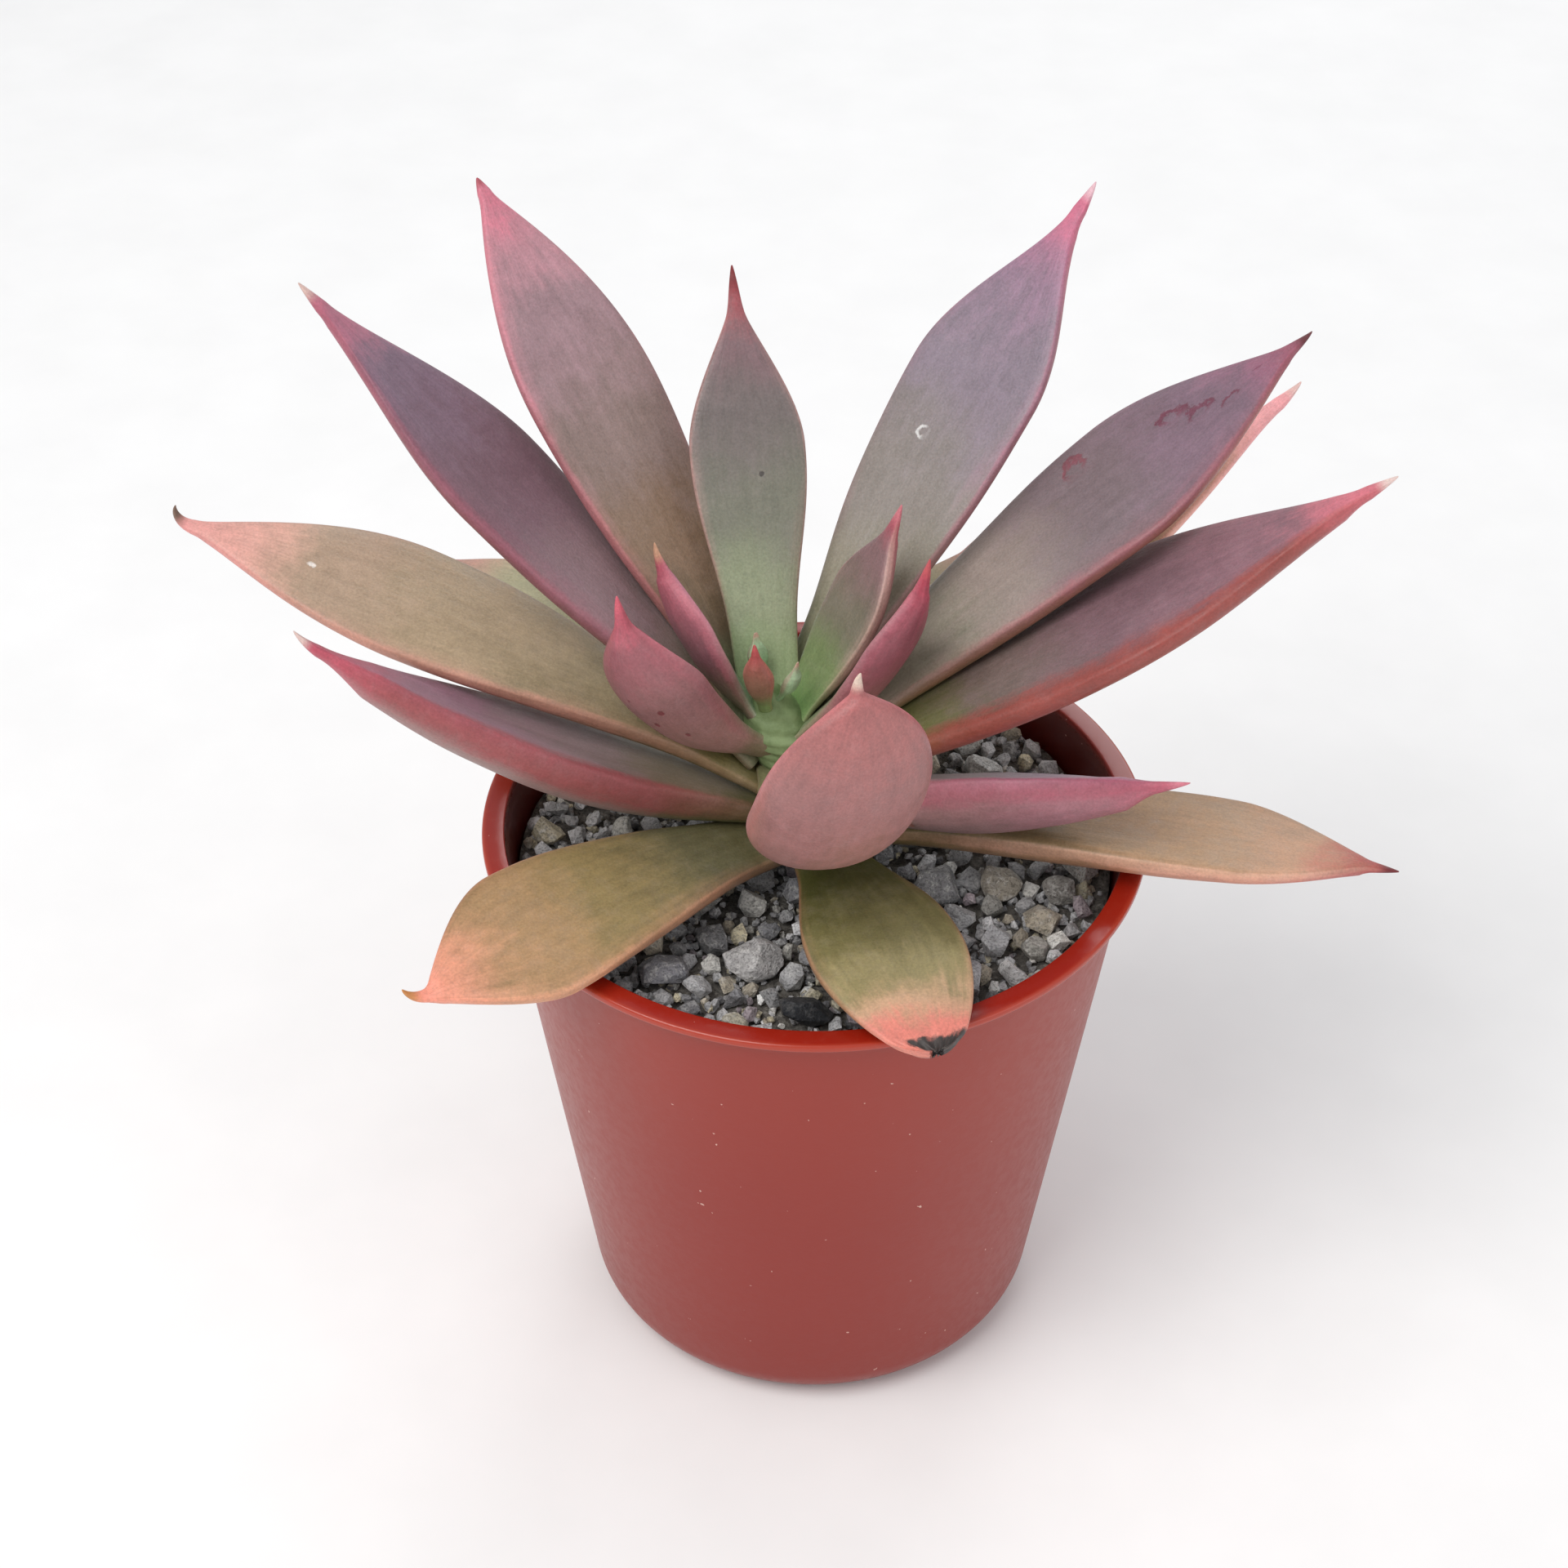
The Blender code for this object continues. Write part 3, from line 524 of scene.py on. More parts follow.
def leaf_sections(leaf, s):
    """Width and thickness in mm along the leaf: the blade, run into a needle that thins towards its end."""
    point = leaf.point / leaf.length
    blade = leaf.width * blade_width(leaf, np.clip(s / (1 - 0.8 * point), 0, 1))
    needle = NEEDLE_WIDTH * np.clip((1 - s) / point, 0.0, 1) ** 0.8 * min(1.0, leaf.width / 6) + NEEDLE_END
    width = (np.maximum(blade, 0) ** 3 + needle**3) ** (1 / 3)
    if leaf.blunt:
        width = width * np.sqrt(np.clip(1 - np.clip((s - 0.94) / 0.062, 0, 1) ** 2, 0.02, 1))
    body = 0.55 + 0.45 * np.sin(np.pi / 2 * np.clip(s / 0.35, 0, 1))
    taper = 1 - 0.75 * np.clip((s - 0.35) / 0.65, 0, 1) ** 2
    return width, np.minimum(leaf.thickness * body * taper, 0.75 * width)


def leaf_midrib(leaf, s, tilt=0.0):
    """Points and directions of the midrib: its slope and turn change evenly, and curl in the last few mm.

    Below the leaf's base, where s is negative, it runs straight on into the stem.
    """
    fine = np.linspace(0, 1, MIDRIB_STEPS + 1)
    curl = np.clip(1 - (1 - fine) * leaf.length / leaf.hook_length, 0, 1) ** 1.3
    rise = np.radians(along_pair(leaf.rise, fine) + leaf.hook * curl + tilt)
    turn = np.radians(leaf.turn + leaf.swing * fine + leaf.hook_turn * curl)
    way = np.stack([np.cos(rise) * np.cos(turn), np.cos(rise) * np.sin(turn), np.sin(rise)], 1)
    line = np.cumsum((way[1:] + way[:-1]) / 2, 0) * leaf.length / MIDRIB_STEPS
    line = np.concatenate([np.zeros((1, 3)), line])
    first = max(0.0, leaf.thickness * 0.55 * math.sin(rise[0]) * (1 - UPPER_SHARE))
    out = stem_radius(leaf.height) + 0.3 + first
    base = stem_centre(leaf.height) + out * np.array([math.cos(turn[0]), math.sin(turn[0]), 0.0])
    inward = np.minimum(s, 0)[:, None] * leaf.length * way[0]
    points = np.stack([np.interp(s, fine, line[:, i]) for i in range(3)], 1) + base + inward
    steady = np.radians(leaf.turn + leaf.swing * np.maximum(s, 0) + leaf.hook_turn * np.interp(s, fine, curl))
    return points, np.stack([np.interp(s, fine, way[:, i]) for i in range(3)], 1), steady


def leaf_rings(leaf, tilt=0.0):
    """A ring at each station of the midrib: nearly flat and slightly dished above, a rounded keel below.

    Its points are the station's midrib point, plus a power of the cosine of the way round times half the
    width across, plus a power of the sine times a share of the thickness up, which makes a fleshy edge, plus
    the dish, which rises with the square of the way across. Slow waves of a few hundredths of the width keep
    it from being too even.
    """
    t = np.linspace(0, 1, STATIONS)
    s = 1 - (1 - t) ** 1.25 * (1 + SHEATH_DEPTH / leaf.length)
    points, way, turn = leaf_midrib(leaf, s, tilt)
    side = np.stack([-np.sin(turn), np.cos(turn), 0 * turn], 1)
    up = np.cross(way, side)
    roll = np.radians(along_pair(leaf.roll, s))[:, None]
    side, up = side * np.cos(roll) + up * np.sin(roll), up * np.cos(roll) - side * np.sin(roll)
    width, thickness = leaf_sections(leaf, s)
    sheath = np.exp(-((np.maximum(s, 0) * leaf.length / SHEATH_LENGTH) ** 2))
    width = width + min(SHEATH_FLARE, 0.2 * leaf.width) * sheath
    round_ring = np.linspace(0, 2 * np.pi, AROUND, endpoint=False)
    cosine = np.cos(round_ring)[None, :] * np.ones((STATIONS, 1))
    sine = np.sin(round_ring)[None, :] * np.ones((STATIONS, 1))
    across = np.sign(cosine) * np.abs(cosine) ** FLESHY_EDGE
    lift = np.where(sine > 0, UPPER_SHARE, 1 - UPPER_SHARE) * np.sign(sine) * np.abs(sine) ** FLESHY_FACE
    dish = leaf.cup * np.sin(np.pi * np.clip(s, 0, 0.97) / 0.97) ** 0.7
    phase = leaf.turn * 0.7
    run = s[:, None]
    wave = COARSE_WAVE * np.sin(9 * run + phase + 2.0 * across)
    wave = wave + FINE_WAVE * np.sin(23 * run - 3 * across + phase)
    high = lift * thickness[:, None] + (dish[:, None] * (across**2 - 0.35) + wave) * width[:, None] * 0.5
    if leaf.blunt:
        torn = np.clip((run - 0.93) / 0.07, 0, 1)
        high = high * (1 - 0.55 * torn) + torn * 0.5 * np.sin(17 * across + 5 * sine) * np.cos(31 * across)
    wide = across * width[:, None] / 2 * (1 + MARGIN_WAVE * np.sin(14 * run + phase))
    rings = points[:, None] + wide[..., None] * side[:, None] + high[..., None] * up[:, None]
    return rings * MM, {"along": run + 0 * across, "across": across, "face": sine}


def tilt_onto_rim(leaf):
    """The change of slope, found by halving, at which the leaf's lowest point over the rim just clears it."""
    low, high = -RIM_TILT_LIMIT, RIM_TILT_LIMIT
    for _ in range(20):
        middle = (low + high) / 2
        points = leaf_rings(leaf, middle)[0].reshape(-1, 3)
        plan = np.hypot(points[:, 0], points[:, 1]) / MM
        over = (plan > RIM_RADIUS - RIM_BAND - 2) & (plan < RIM_RADIUS + 2)
        if over.any() and points[over, 2].min() < POT_TOP + RIM_GAP * MM:
            low = middle
        else:
            high = middle
    return high


def leaf_skin(leaf):
    """Waxy leaf skin: colour along both faces, coloured margins and tip, speckle, streaks and bloom. On two
    leaves one margin's colour is a painted highlight along the rounded edge.
    """
    made, tree, shader = new_material("skin_" + leaf.name)
    where = place(tree)
    along = attribute(tree, "along").outputs["Fac"]
    across = attribute(tree, "across").outputs["Fac"]
    face = attribute(tree, "face").outputs["Fac"]
    spread = put(tree, "CombineXYZ", X=maths(tree, "MULTIPLY", along, leaf.length),
                 Y=maths(tree, "MULTIPLY", across, leaf.width / 2), Z=maths(tree, "MULTIPLY", face, 3.0))
    spread = spread.outputs["Vector"]
    lengthwise = put(tree, "Mapping", Vector=spread, Location=(leaf.turn, 0, 0), Scale=(0.16, 1.0, 1.0))
    streak = centred(tree, noise(tree, lengthwise.outputs["Vector"], 1.1, 4, 0.62))
    cloud = centred(tree, noise(tree, where, 110 + leaf.turn % 7, 3))
    mottle = centred(tree, noise(tree, where, 620, 5, 0.66))
    speckle = centred(tree, noise(tree, where, 4200, 2))
    wander = summed(tree, along, (cloud, 0.26), (mottle, 0.10), (streak, 0.10))
    above = between(tree, summed(tree, face, (mottle, 0.3)), -0.22, 0.12)
    colour = blend_colours(tree, above, ramp(tree, wander, leaf.under), ramp(tree, wander, leaf.upper))
    fading = between(tree, along, 0.0, 0.32, 0.25, 1.0)
    for sign, (edge, width, strength) in ((1.0, leaf.high_margin), (-1.0, leaf.low_margin)):
        reach = maths(tree, "MULTIPLY", across, sign)
        washed = summed(tree, reach, (cloud, 0.5), (streak, 0.3))
        wash = between(tree, washed, max(0.55, 1 - 4 * width), 1.15, 0.0, 0.3 * strength)
        colour = blend_colours(tree, maths(tree, "MULTIPLY", wash, fading), colour, tone(*edge))
        ragged = summed(tree, reach, (mottle, 0.9 * width), (streak, 0.9 * width))
        band = between(tree, ragged, 1 - 1.1 * width, 1 - 0.1 * width, 0.0, 0.55 * strength)
        colour = blend_colours(tree, maths(tree, "MULTIPLY", band, fading), colour, tone(*edge))
    reached = summed(tree, along, (mottle, 0.06), (cloud, 0.08))
    tip_colour, tip_from = leaf.tip
    flush = between(tree, reached, tip_from - 0.08, 1.0, 0.0, 0.75)
    colour = blend_colours(tree, flush, colour, tone(*tip_colour))
    colour, worn = leaf_marks(tree, leaf, colour, spread, mottle)
    dry_from = 0.945 if leaf.blunt else 1 - 0.8 * leaf.point / leaf.length
    dry_run = 0.02 if leaf.blunt else 0.5 * leaf.point / leaf.length
    worn_end = summed(tree, along, (mottle, 0.08 if leaf.blunt else 0.01))
    dry = between(tree, worn_end, dry_from, dry_from + dry_run)
    if leaf.blunt:
        scab = summed(tree, across, (mottle, 0.8), extra=0.12)
        dry = maths(tree, "MULTIPLY", dry, between(tree, scab, -0.62, -0.45))
    colour = blend_colours(tree, dry, colour, tone(*leaf.dried))
    waxy = summed(tree, noise(tree, where, 900, 5, 0.72), (cloud, 0.5))
    bloom = between(tree, waxy, 0.45, 0.75, 0.0, leaf.bloom)
    colour = blend_colours(tree, bloom, colour, tone(160, 150, 150))
    shade = put(tree, "HueSaturation", Color=colour)
    value = summed(tree, (mottle, 0.42), (speckle, 0.55), (streak, 0.42), (cloud, 0.35), extra=1.0)
    tree.links.new(value, shade.inputs["Value"])
    tree.links.new(shade.outputs["Color"], shader.inputs["Base Color"])
    dull = between(tree, summed(tree, mottle, (cloud, 0.8)), -0.18, 0.18, 0.38, 0.55)
    tree.links.new(dull, shader.inputs["Roughness"])
    shader.inputs["Subsurface Weight"].default_value = 0.08
    shader.inputs["Subsurface Radius"].default_value = (1.0, 0.45, 0.3)
    shader.inputs["Subsurface Scale"].default_value = 0.0015
    shader.inputs["Specular IOR Level"].default_value = 0.45
    relief = summed(tree, (mottle, 0.5), (speckle, 0.22), (streak, 0.6), (worn, -0.6), extra=0.5)
    finish_with_bump(tree, shader, relief, 0.4, 0.00028)
    return made


def leaf_marks(tree, leaf, colour, spread, mottle):
    """Scars, spots and flecks, each a distance on the blade's face. A ring is open on one side."""
    worn = 0.0
    face_only = put(tree, "VectorMath")
    face_only.operation = "MULTIPLY"
    tree.links.new(spread, face_only.inputs[0])
    face_only.inputs[1].default_value = (1.0, 1.0, 0.0)
    for s, y, radius, mark, ring in leaf.marks:
        away = put(tree, "VectorMath")
        away.operation = "DISTANCE"
        tree.links.new(face_only.outputs["Vector"], away.inputs[0])
        away.inputs[1].default_value = (s * leaf.length, y * leaf.width / 2, 0.0)
        reach = summed(tree, away.outputs["Value"], (mottle, 2.4 * radius))
        if ring:
            gap = maths(tree, "ABSOLUTE", maths(tree, "SUBTRACT", reach, 0.75 * radius))
            here = between(tree, gap, 0.10 * radius, 0.36 * radius, 0.8, 0.0)
            half = put(tree, "SeparateXYZ", Vector=spread).outputs["Y"]
            off = maths(tree, "SUBTRACT", half, y * leaf.width / 2)
            side = between(tree, off, -0.6 * radius, 0.2 * radius, 0.1, 1.0)
            here = maths(tree, "MULTIPLY", here, side)
        else:
            here = between(tree, reach, 0.55 * radius, 1.1 * radius, 0.8, 0.0)
        colour = blend_colours(tree, here, colour, tone(*mark))
        worn = maths(tree, "MAXIMUM", here, worn)
    return colour, worn


def make_leaves():
    for leaf in LEAVES:
        rings, values = leaf_rings(leaf, tilt_onto_rim(leaf) if leaf.on_rim else 0.0)
        mesh = tube_mesh(leaf.name + "_blade", rings, values)
        add_piece(leaf.name + "_blade", mesh, leaf_skin(leaf), [leaf.name])


# Stem


def make_stem():
    """The stem: a round section up the leaning axis, swollen where the leaves clasp it, with faint rings.

    Its radius is the stem's own, plus a smooth rise and fall under the crown, times small sines of the height
    and the turn.
    """
    bottom = (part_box("stem")[0].z - POT_TOP) / MM
    h = np.linspace(bottom, CROWN_TOP, 110)[:, None]
    turn = np.linspace(0, 2 * np.pi, 48, endpoint=False)[None, :]
    swell = 1 + 0.05 * np.sin(5.2 * h + 2 * turn) + 0.03 * np.sin(3 * turn + 1.7 * h)
    clasped = 1.3 * np.exp(-(((h - 12.2) / 2.6) ** 2)) + 0.5 * np.exp(-(((h - 7) / 3.5) ** 2))
    radius = (stem_radius(h) + clasped) * swell * (0.96 + 0.04 * np.clip(-h / 3, 0, 1))
    x = STEM_FOOT[0] - STEM_LEAN * h + radius * np.cos(turn)
    y = STEM_FOOT[1] + radius * np.sin(turn)
    rings = np.stack([x, y, POT_TOP / MM + h + 0 * turn], -1) * MM
    made, tree, shader = new_material("stem_skin")
    where = place(tree)
    blotch = noise(tree, where, 420, 5, 0.65)
    high = put(tree, "SeparateXYZ", Vector=where).outputs["Z"]
    fresh = between(tree, high, POT_TOP, POT_TOP + 0.010)
    old = ramp(tree, blotch, ((0.3, (78, 72, 50)), (0.6, (122, 116, 84)), (0.8, (146, 140, 112))))
    young = ramp(tree, blotch, ((0.3, (104, 124, 78)), (0.7, (134, 154, 108))))
    tree.links.new(blend_colours(tree, fresh, old, young), shader.inputs["Base Color"])
    shader.inputs["Roughness"].default_value = 0.6
    finish_with_bump(tree, shader, blotch, 0.5, 0.0004)
    add_piece("stem_skin", tube_mesh("stem_skin", rings, {}), made, ["stem"])
    make_root_nubs()


ROOT_NUBS = ((236, 3.0, 2.6), (258, 2.2, 2.2), (212, 3.4, 2.0))  # turn, height over the rim, length in mm


def make_root_nubs():
    """Short pale roots that the stem has put out: a round section on a path that goes out and bends down."""
    made, tree, shader = new_material("root_skin")
    grain = noise(tree, place(tree), 2500, 3)
    pale = ramp(tree, grain, ((0.3, (196, 188, 150)), (0.7, (226, 222, 196))))
    tree.links.new(pale, shader.inputs["Base Color"])
    shader.inputs["Roughness"].default_value = 0.55
    finish_with_bump(tree, shader, grain, 0.3, 0.0002)
    for number, (turn, height, length) in enumerate(ROOT_NUBS):
        t = np.linspace(0, 1, 16)[:, None]
        out, down = STEM_RADIUS + 0.1 + length * np.sin(1.2 * t), length * 1.1 * (1 - np.cos(1.2 * t))
        way = np.array([math.cos(math.radians(turn)), math.sin(math.radians(turn)), 0.0])
        path = stem_centre(height) + out * way - down * np.array([0, 0, 1.0])
        ring = np.linspace(0, 2 * np.pi, 12, endpoint=False)[None, :, None]
        side = np.array([-way[1], way[0], 0.0])
        up = np.cos(1.2 * t)[:, None] * np.array([0, 0, 1.0]) + np.sin(1.2 * t)[:, None] * way
        radius = (0.42 * (1 - 0.55 * t**2) * np.sqrt(np.clip(1.02 - t**6, 0.02, 1)))[:, None]
        rings = path[:, None] + radius * (np.cos(ring) * side + np.sin(ring) * up)
        name = f"root_nub_{number}"
        add_piece(name, tube_mesh(name, rings * MM, {}), made)


# Rock


def points_and_faces(made):
    """The points and faces of a bmesh as arrays, after which it is freed."""
    points = np.array([v.co for v in made.verts])
    faces = np.array([[v.index for v in f.verts] for f in made.faces])
    made.free()
    return points, faces


def ball(levels):
    """Directions and faces of an evenly divided ball."""
    made = bmesh.new()
    bmesh.ops.create_icosphere(made, subdivisions=levels, radius=1.0)
    return points_and_faces(made)


def broken_rocks(chance, sizes, levels, planes=9, roughness=0.03):
    """Rocks at the origin: in each direction the radius is the least that any of a few random planes allows.

    The planes stand off the middle by random amounts, which leaves flats and blunt edges, and each rock is
    then stretched and turned at random. Returns one array, rock by point, and the faces that they share.
    """
    ways, faces = ball(levels)
    count = len(sizes)
    normals = chance.normal(size=(count, planes, 3))
    normals /= np.linalg.norm(normals, axis=-1, keepdims=True)
    off = chance.uniform(0.55, 0.9, size=(count, planes))
    facing = np.einsum("vi,gpi->gvp", ways, normals)
    reach = np.where(facing > 0.05, off[:, None] / np.maximum(facing, 0.05), 9.0).min(-1)
    reach = np.minimum(reach, 1.0) * (1 + roughness * chance.normal(size=reach.shape))
    rocks = ways[None] * reach[..., None]
    rocks = rocks / np.abs(rocks).max(axis=(1, 2), keepdims=True)
    rocks = rocks * chance.uniform(0.62, 1.0, size=(count, 1, 3))
    frames = np.linalg.qr(chance.normal(size=(count, 3, 3)))[0]
    frames = frames * np.sign(np.linalg.det(frames))[:, None, None]
    return np.einsum("gvi,gij->gvj", rocks, frames) * (np.asarray(sizes) / 2)[:, None, None], faces


def crushed_shapes(chance, kinds, corners=15):
    """Crushed shapes for repeating: each is the hull of a few points at random distances from its middle."""
    shapes = []
    for _ in range(kinds):
        points = chance.normal(size=(corners, 3))
        points *= (chance.uniform(0.8, 1.0, corners) / np.linalg.norm(points, axis=1))[:, None]
        made = bmesh.new()
        corner_verts = [made.verts.new(point) for point in points]
        hull = bmesh.ops.convex_hull(made, input=corner_verts)
        spare = {v for v in hull["geom_interior"] + hull["geom_unused"] if isinstance(v, bmesh.types.BMVert)}
        bmesh.ops.delete(made, geom=list(spare), context="VERTS")
        bmesh.ops.recalc_face_normals(made, faces=made.faces)
        made.verts.index_update()
        shapes.append(points_and_faces(made))
    return shapes


GRIT_TONES = np.array([
    (176, 176, 178), (158, 158, 160), (134, 134, 138), (206, 206, 208), (226, 224, 218), (178, 168, 150),
    (202, 192, 164), (104, 104, 108), (150, 138, 144), (166, 164, 158), (118, 118, 120), (66, 66, 70)])
GRIT_SHARES = np.array([0.18, 0.15, 0.12, 0.14, 0.09, 0.08, 0.06, 0.04, 0.04, 0.06, 0.03, 0.01])


def rock_material(name, flat=None, frosting=0.35):
    """Broken rock: a stone's own colour, clouded and speckled, with a rough grain and white frosting."""
    made, tree, shader = new_material(name)
    where = place(tree)
    base = attribute(tree, "tint").outputs["Color"] if flat is None else tone(*flat)
    cloud = noise(tree, where, 380, 3, 0.6)
    vein = noise(tree, where, 1100, 6, 0.74)
    speck = noise(tree, where, 4200, 3, 0.6)
    colour = blend_colours(tree, between(tree, cloud, 0.55, 0.35, 0.0, 0.35), base, tone(96, 92, 90))
    colour = blend_colours(tree, between(tree, vein, 0.47, 0.66, 0.0, frosting), colour, tone(236, 235, 232))
    colour = blend_colours(tree, between(tree, vein, 0.42, 0.28, 0.0, 0.6), colour, tone(70, 68, 66))
    shade = put(tree, "HueSaturation", Color=colour, Value=between(tree, speck, 0.34, 0.56, 0.62, 1.12))
    tree.links.new(shade.outputs["Color"], shader.inputs["Base Color"])
    tree.links.new(between(tree, vein, 0.3, 0.7, 0.35, 0.75), shader.inputs["Roughness"])
    shader.inputs["Specular IOR Level"].default_value = 0.5
    relief = summed(tree, (vein, 0.8), (speck, 0.5), (cloud, 0.6))
    finish_with_bump(tree, shader, relief, 0.9, 0.0006)
    return made


GRIT_LIFT = 0.5  # how far the loose grit stands over the solid bed, in mm
BED_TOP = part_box("grit_bed")[1].z / MM
BED_RADIUS = (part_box("grit_bed")[1].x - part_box("grit_bed")[0].x) / 2 / MM


def scatter(chance, sizes, taken, crowding, inside):
    """Places in plan for grains, biggest first, each kept a share of the two sizes away from the others."""
    spots = list(taken)
    placed = []
    for size in sizes:
        for _ in range(60):
            turn, out = chance.uniform(0, 2 * np.pi), np.sqrt(chance.uniform(0, 1)) * (inside - size / 2)
            spot = np.array([out * np.cos(turn), out * np.sin(turn)])
            others = np.array([(x, y, s) for x, y, s in spots])
            away = np.hypot(*(others[:, :2] - spot).T)
            if (away < crowding * (others[:, 2] + size) / 2).any():
                continue
            spots.append((*spot, size))
            placed.append((*spot, size))
            break
    return np.array(placed), spots


def grains_mesh(name, chance, placed, shapes, sunk):
    """One mesh of many grains: each is a shape stretched and turned at random, with its own tint, set into
    the bed by a share of its size."""
    tints = GRIT_TONES[chance.choice(len(GRIT_TONES), size=len(placed), p=GRIT_SHARES)] / 255.0
    tints = np.clip(tints * chance.uniform(0.95, 1.22, size=(len(placed), 1)), 0, 1) ** 2.1
    tints = np.concatenate([tints, np.ones((len(placed), 1))], 1)
    kind = chance.integers(len(shapes), size=len(placed))
    stretch = chance.uniform(0.6, 1.0, size=(len(placed), 1, 3))
    frames = np.linalg.qr(chance.normal(size=(len(placed), 3, 3)))[0]
    frames = frames * np.sign(np.linalg.det(frames))[:, None, None]
    lift = GRIT_LIFT + placed[:, 2] * (0.5 - sunk) + chance.normal(size=len(placed)) * 0.14
    middles = np.stack([placed[:, 0], placed[:, 1], BED_TOP + lift], -1)
    points, faces, colours, first = [], [], [], 0
    for number, (shape, sides) in enumerate(shapes):
        mine = kind == number
        count = int(mine.sum())
        grains = np.einsum("gvi,gij->gvj", shape[None] * stretch[mine], frames[mine])
        grains = grains * (placed[mine, 2] / 2)[:, None, None] + middles[mine][:, None]
        points.append(grains.reshape(-1, 3))
        faces.append((sides[None] + first + (np.arange(count) * len(shape))[:, None, None]).reshape(-1, 3))
        colours.append(np.repeat(tints[mine], len(shape), axis=0))
        first += count * len(shape)
    every = np.concatenate(faces).tolist()
    return mesh_of(name, np.concatenate(points) * MM, every, {"tint": np.concatenate(colours)}, smooth=False)


STONE_TONES = {
    "stone_quartz_front": (186, 184, 184),
    "stone_grey_front": (146, 146, 152),
    "stone_black_front": (30, 34, 40),
    "stone_cream_front": (182, 176, 158),
    "stone_pitted": (140, 140, 142),
    "stone_tan_square": (170, 162, 148),
    "stone_tan_grey": (158, 154, 148),
    "stone_crystalline": (202, 202, 206),
    "stone_mauve": (138, 128, 134),
    "stone_pale_right": (186, 184, 176),
    "stone_cream_left": (206, 196, 168),
    "stone_white_left": (214, 212, 204),
    "stone_grey_left": (140, 140, 144),
    "stone_back": (164, 162, 160),
    "stone_back_left": (166, 160, 152),
    "stone_back_right": (196, 196, 194),
}


def make_stones():
    """Each larger stone, fitted into the box of the CAD stone that it stands for. Returns places in plan."""
    taken = []
    for number, (name, colour) in enumerate(STONE_TONES.items()):
        low, high = (np.array(corner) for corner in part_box(name))
        chance = np.random.default_rng(40 + number)
        rocks, faces = broken_rocks(chance, [1.0], 5, planes=11, roughness=0.003)
        rock = rocks[0]
        rock = (rock - (rock.max(0) + rock.min(0)) / 2) / (rock.max(0) - rock.min(0))
        dents = np.sin(rock @ chance.normal(size=(3, 6)) * 9 + chance.uniform(0, 6, 6)).sum(1)
        rock = rock * (0.98 + 0.012 * dents)[:, None]
        points = (low + high) / 2 + rock * (high - low)
        mesh = mesh_of(name + "_rock", points, faces.tolist())
        mesh.set_sharp_from_angle(angle=math.radians(24))
        material = rock_material(name + "_rock", colour, 0.1 if "black" in name else 0.6)
        add_piece(name + "_rock", mesh, material, [name])
        middle = (low + high) / 2 / MM
        taken.append((middle[0], middle[1], max(high[0] - low[0], high[1] - low[1]) / MM * 0.9))
    return taken


LARGE_GRAINS = (3.0, 5.0, 80)  # least and greatest size in mm, and how many are tried
MIDDLING_GRAINS = (1.7, 3.0, 520)
SMALL_GRAINS = (0.8, 1.7, 2300)
LARGE_CROWDING = 0.86  # how near two grains may lie, as a share of the two sizes
MIDDLING_CROWDING = 0.80


def make_grit():
    """Three sizes of loose grain over a bed of dust. The smallest are strewn freely, and may touch."""
    chance = np.random.default_rng(7)
    taken = make_stones()
    x, y = stem_centre(BED_TOP - POT_TOP / MM)[:2]
    taken.append((x, y, 2 * STEM_RADIUS + 1))
    shapes = crushed_shapes(chance, 36)
    sizes = np.sort(chance.uniform(*LARGE_GRAINS))[::-1]
    large, spots = scatter(chance, sizes, taken, LARGE_CROWDING, BED_RADIUS)
    sizes = np.sort(chance.uniform(*MIDDLING_GRAINS))[::-1]
    middling, spots = scatter(chance, sizes, spots, MIDDLING_CROWDING, BED_RADIUS)
    small = np.stack([*polar(chance, SMALL_GRAINS[2], BED_RADIUS - 0.6), chance.uniform(*SMALL_GRAINS)], -1)
    grit = rock_material("grit_grains")
    layers = (("grit_large", large, 0.24), ("grit_middling", middling, 0.26), ("grit_small", small, 0.42))
    for name, placed, sunk in layers:
        add_piece(name, grains_mesh(name, chance, placed, shapes, sunk), grit)
    make_bed()


def polar(chance, count, radius):
    """Places spread evenly over a disc."""
    turn, out = chance.uniform(0, 2 * np.pi, count), np.sqrt(chance.uniform(0, 1, count)) * radius
    return out * np.cos(turn), out * np.sin(turn)


def make_bed():
    """The bed under the grains: a disc whose height wanders by sines of place, with a skirt and a base."""
    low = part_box("grit_bed")[0].z
    over, down, sides = 60, 6, 160  # rings over the top and down the skirt, and points in a ring
    ring = np.concatenate([np.linspace(0.02, 1, over), np.ones(down)])
    turn = np.linspace(0, 2 * np.pi, sides, endpoint=False)
    radius = (ring * BED_RADIUS * MM)[:, None] * np.ones(sides)
    x, y = radius * np.cos(turn), radius * np.sin(turn)
    top = (BED_TOP + GRIT_LIFT - 0.3) * MM + 0.00025 * np.sin(1100 * x + 600 * y) * np.cos(900 * y - 500 * x)
    skirt = np.linspace(0, 1, down + 1)[1:]
    edge = top[over - 1]
    z = top.copy()
    z[over:] = edge[None] + (low - edge)[None] * skirt[:, None]
    taper = 1 - 0.035 * np.concatenate([np.zeros(over), skirt])[:, None]
    rings = np.stack([x * taper, y * taper, z], -1)
    made, tree, shader = new_material("grit_dust")
    where = place(tree)
    fine = noise(tree, where, 1500, 5, 0.7)
    tree.links.new(ramp(tree, fine, ((0.32, (56, 54, 50)), (0.52, (112, 108, 102)), (0.72, (172, 168, 160)))),
                   shader.inputs["Base Color"])
    shader.inputs["Roughness"].default_value = 0.9
    finish_with_bump(tree, shader, fine, 1.0, 0.0008)
    add_piece("grit_dust", tube_mesh("grit_dust", rings[::-1], {}), made, ["grit_bed"])


# Pot

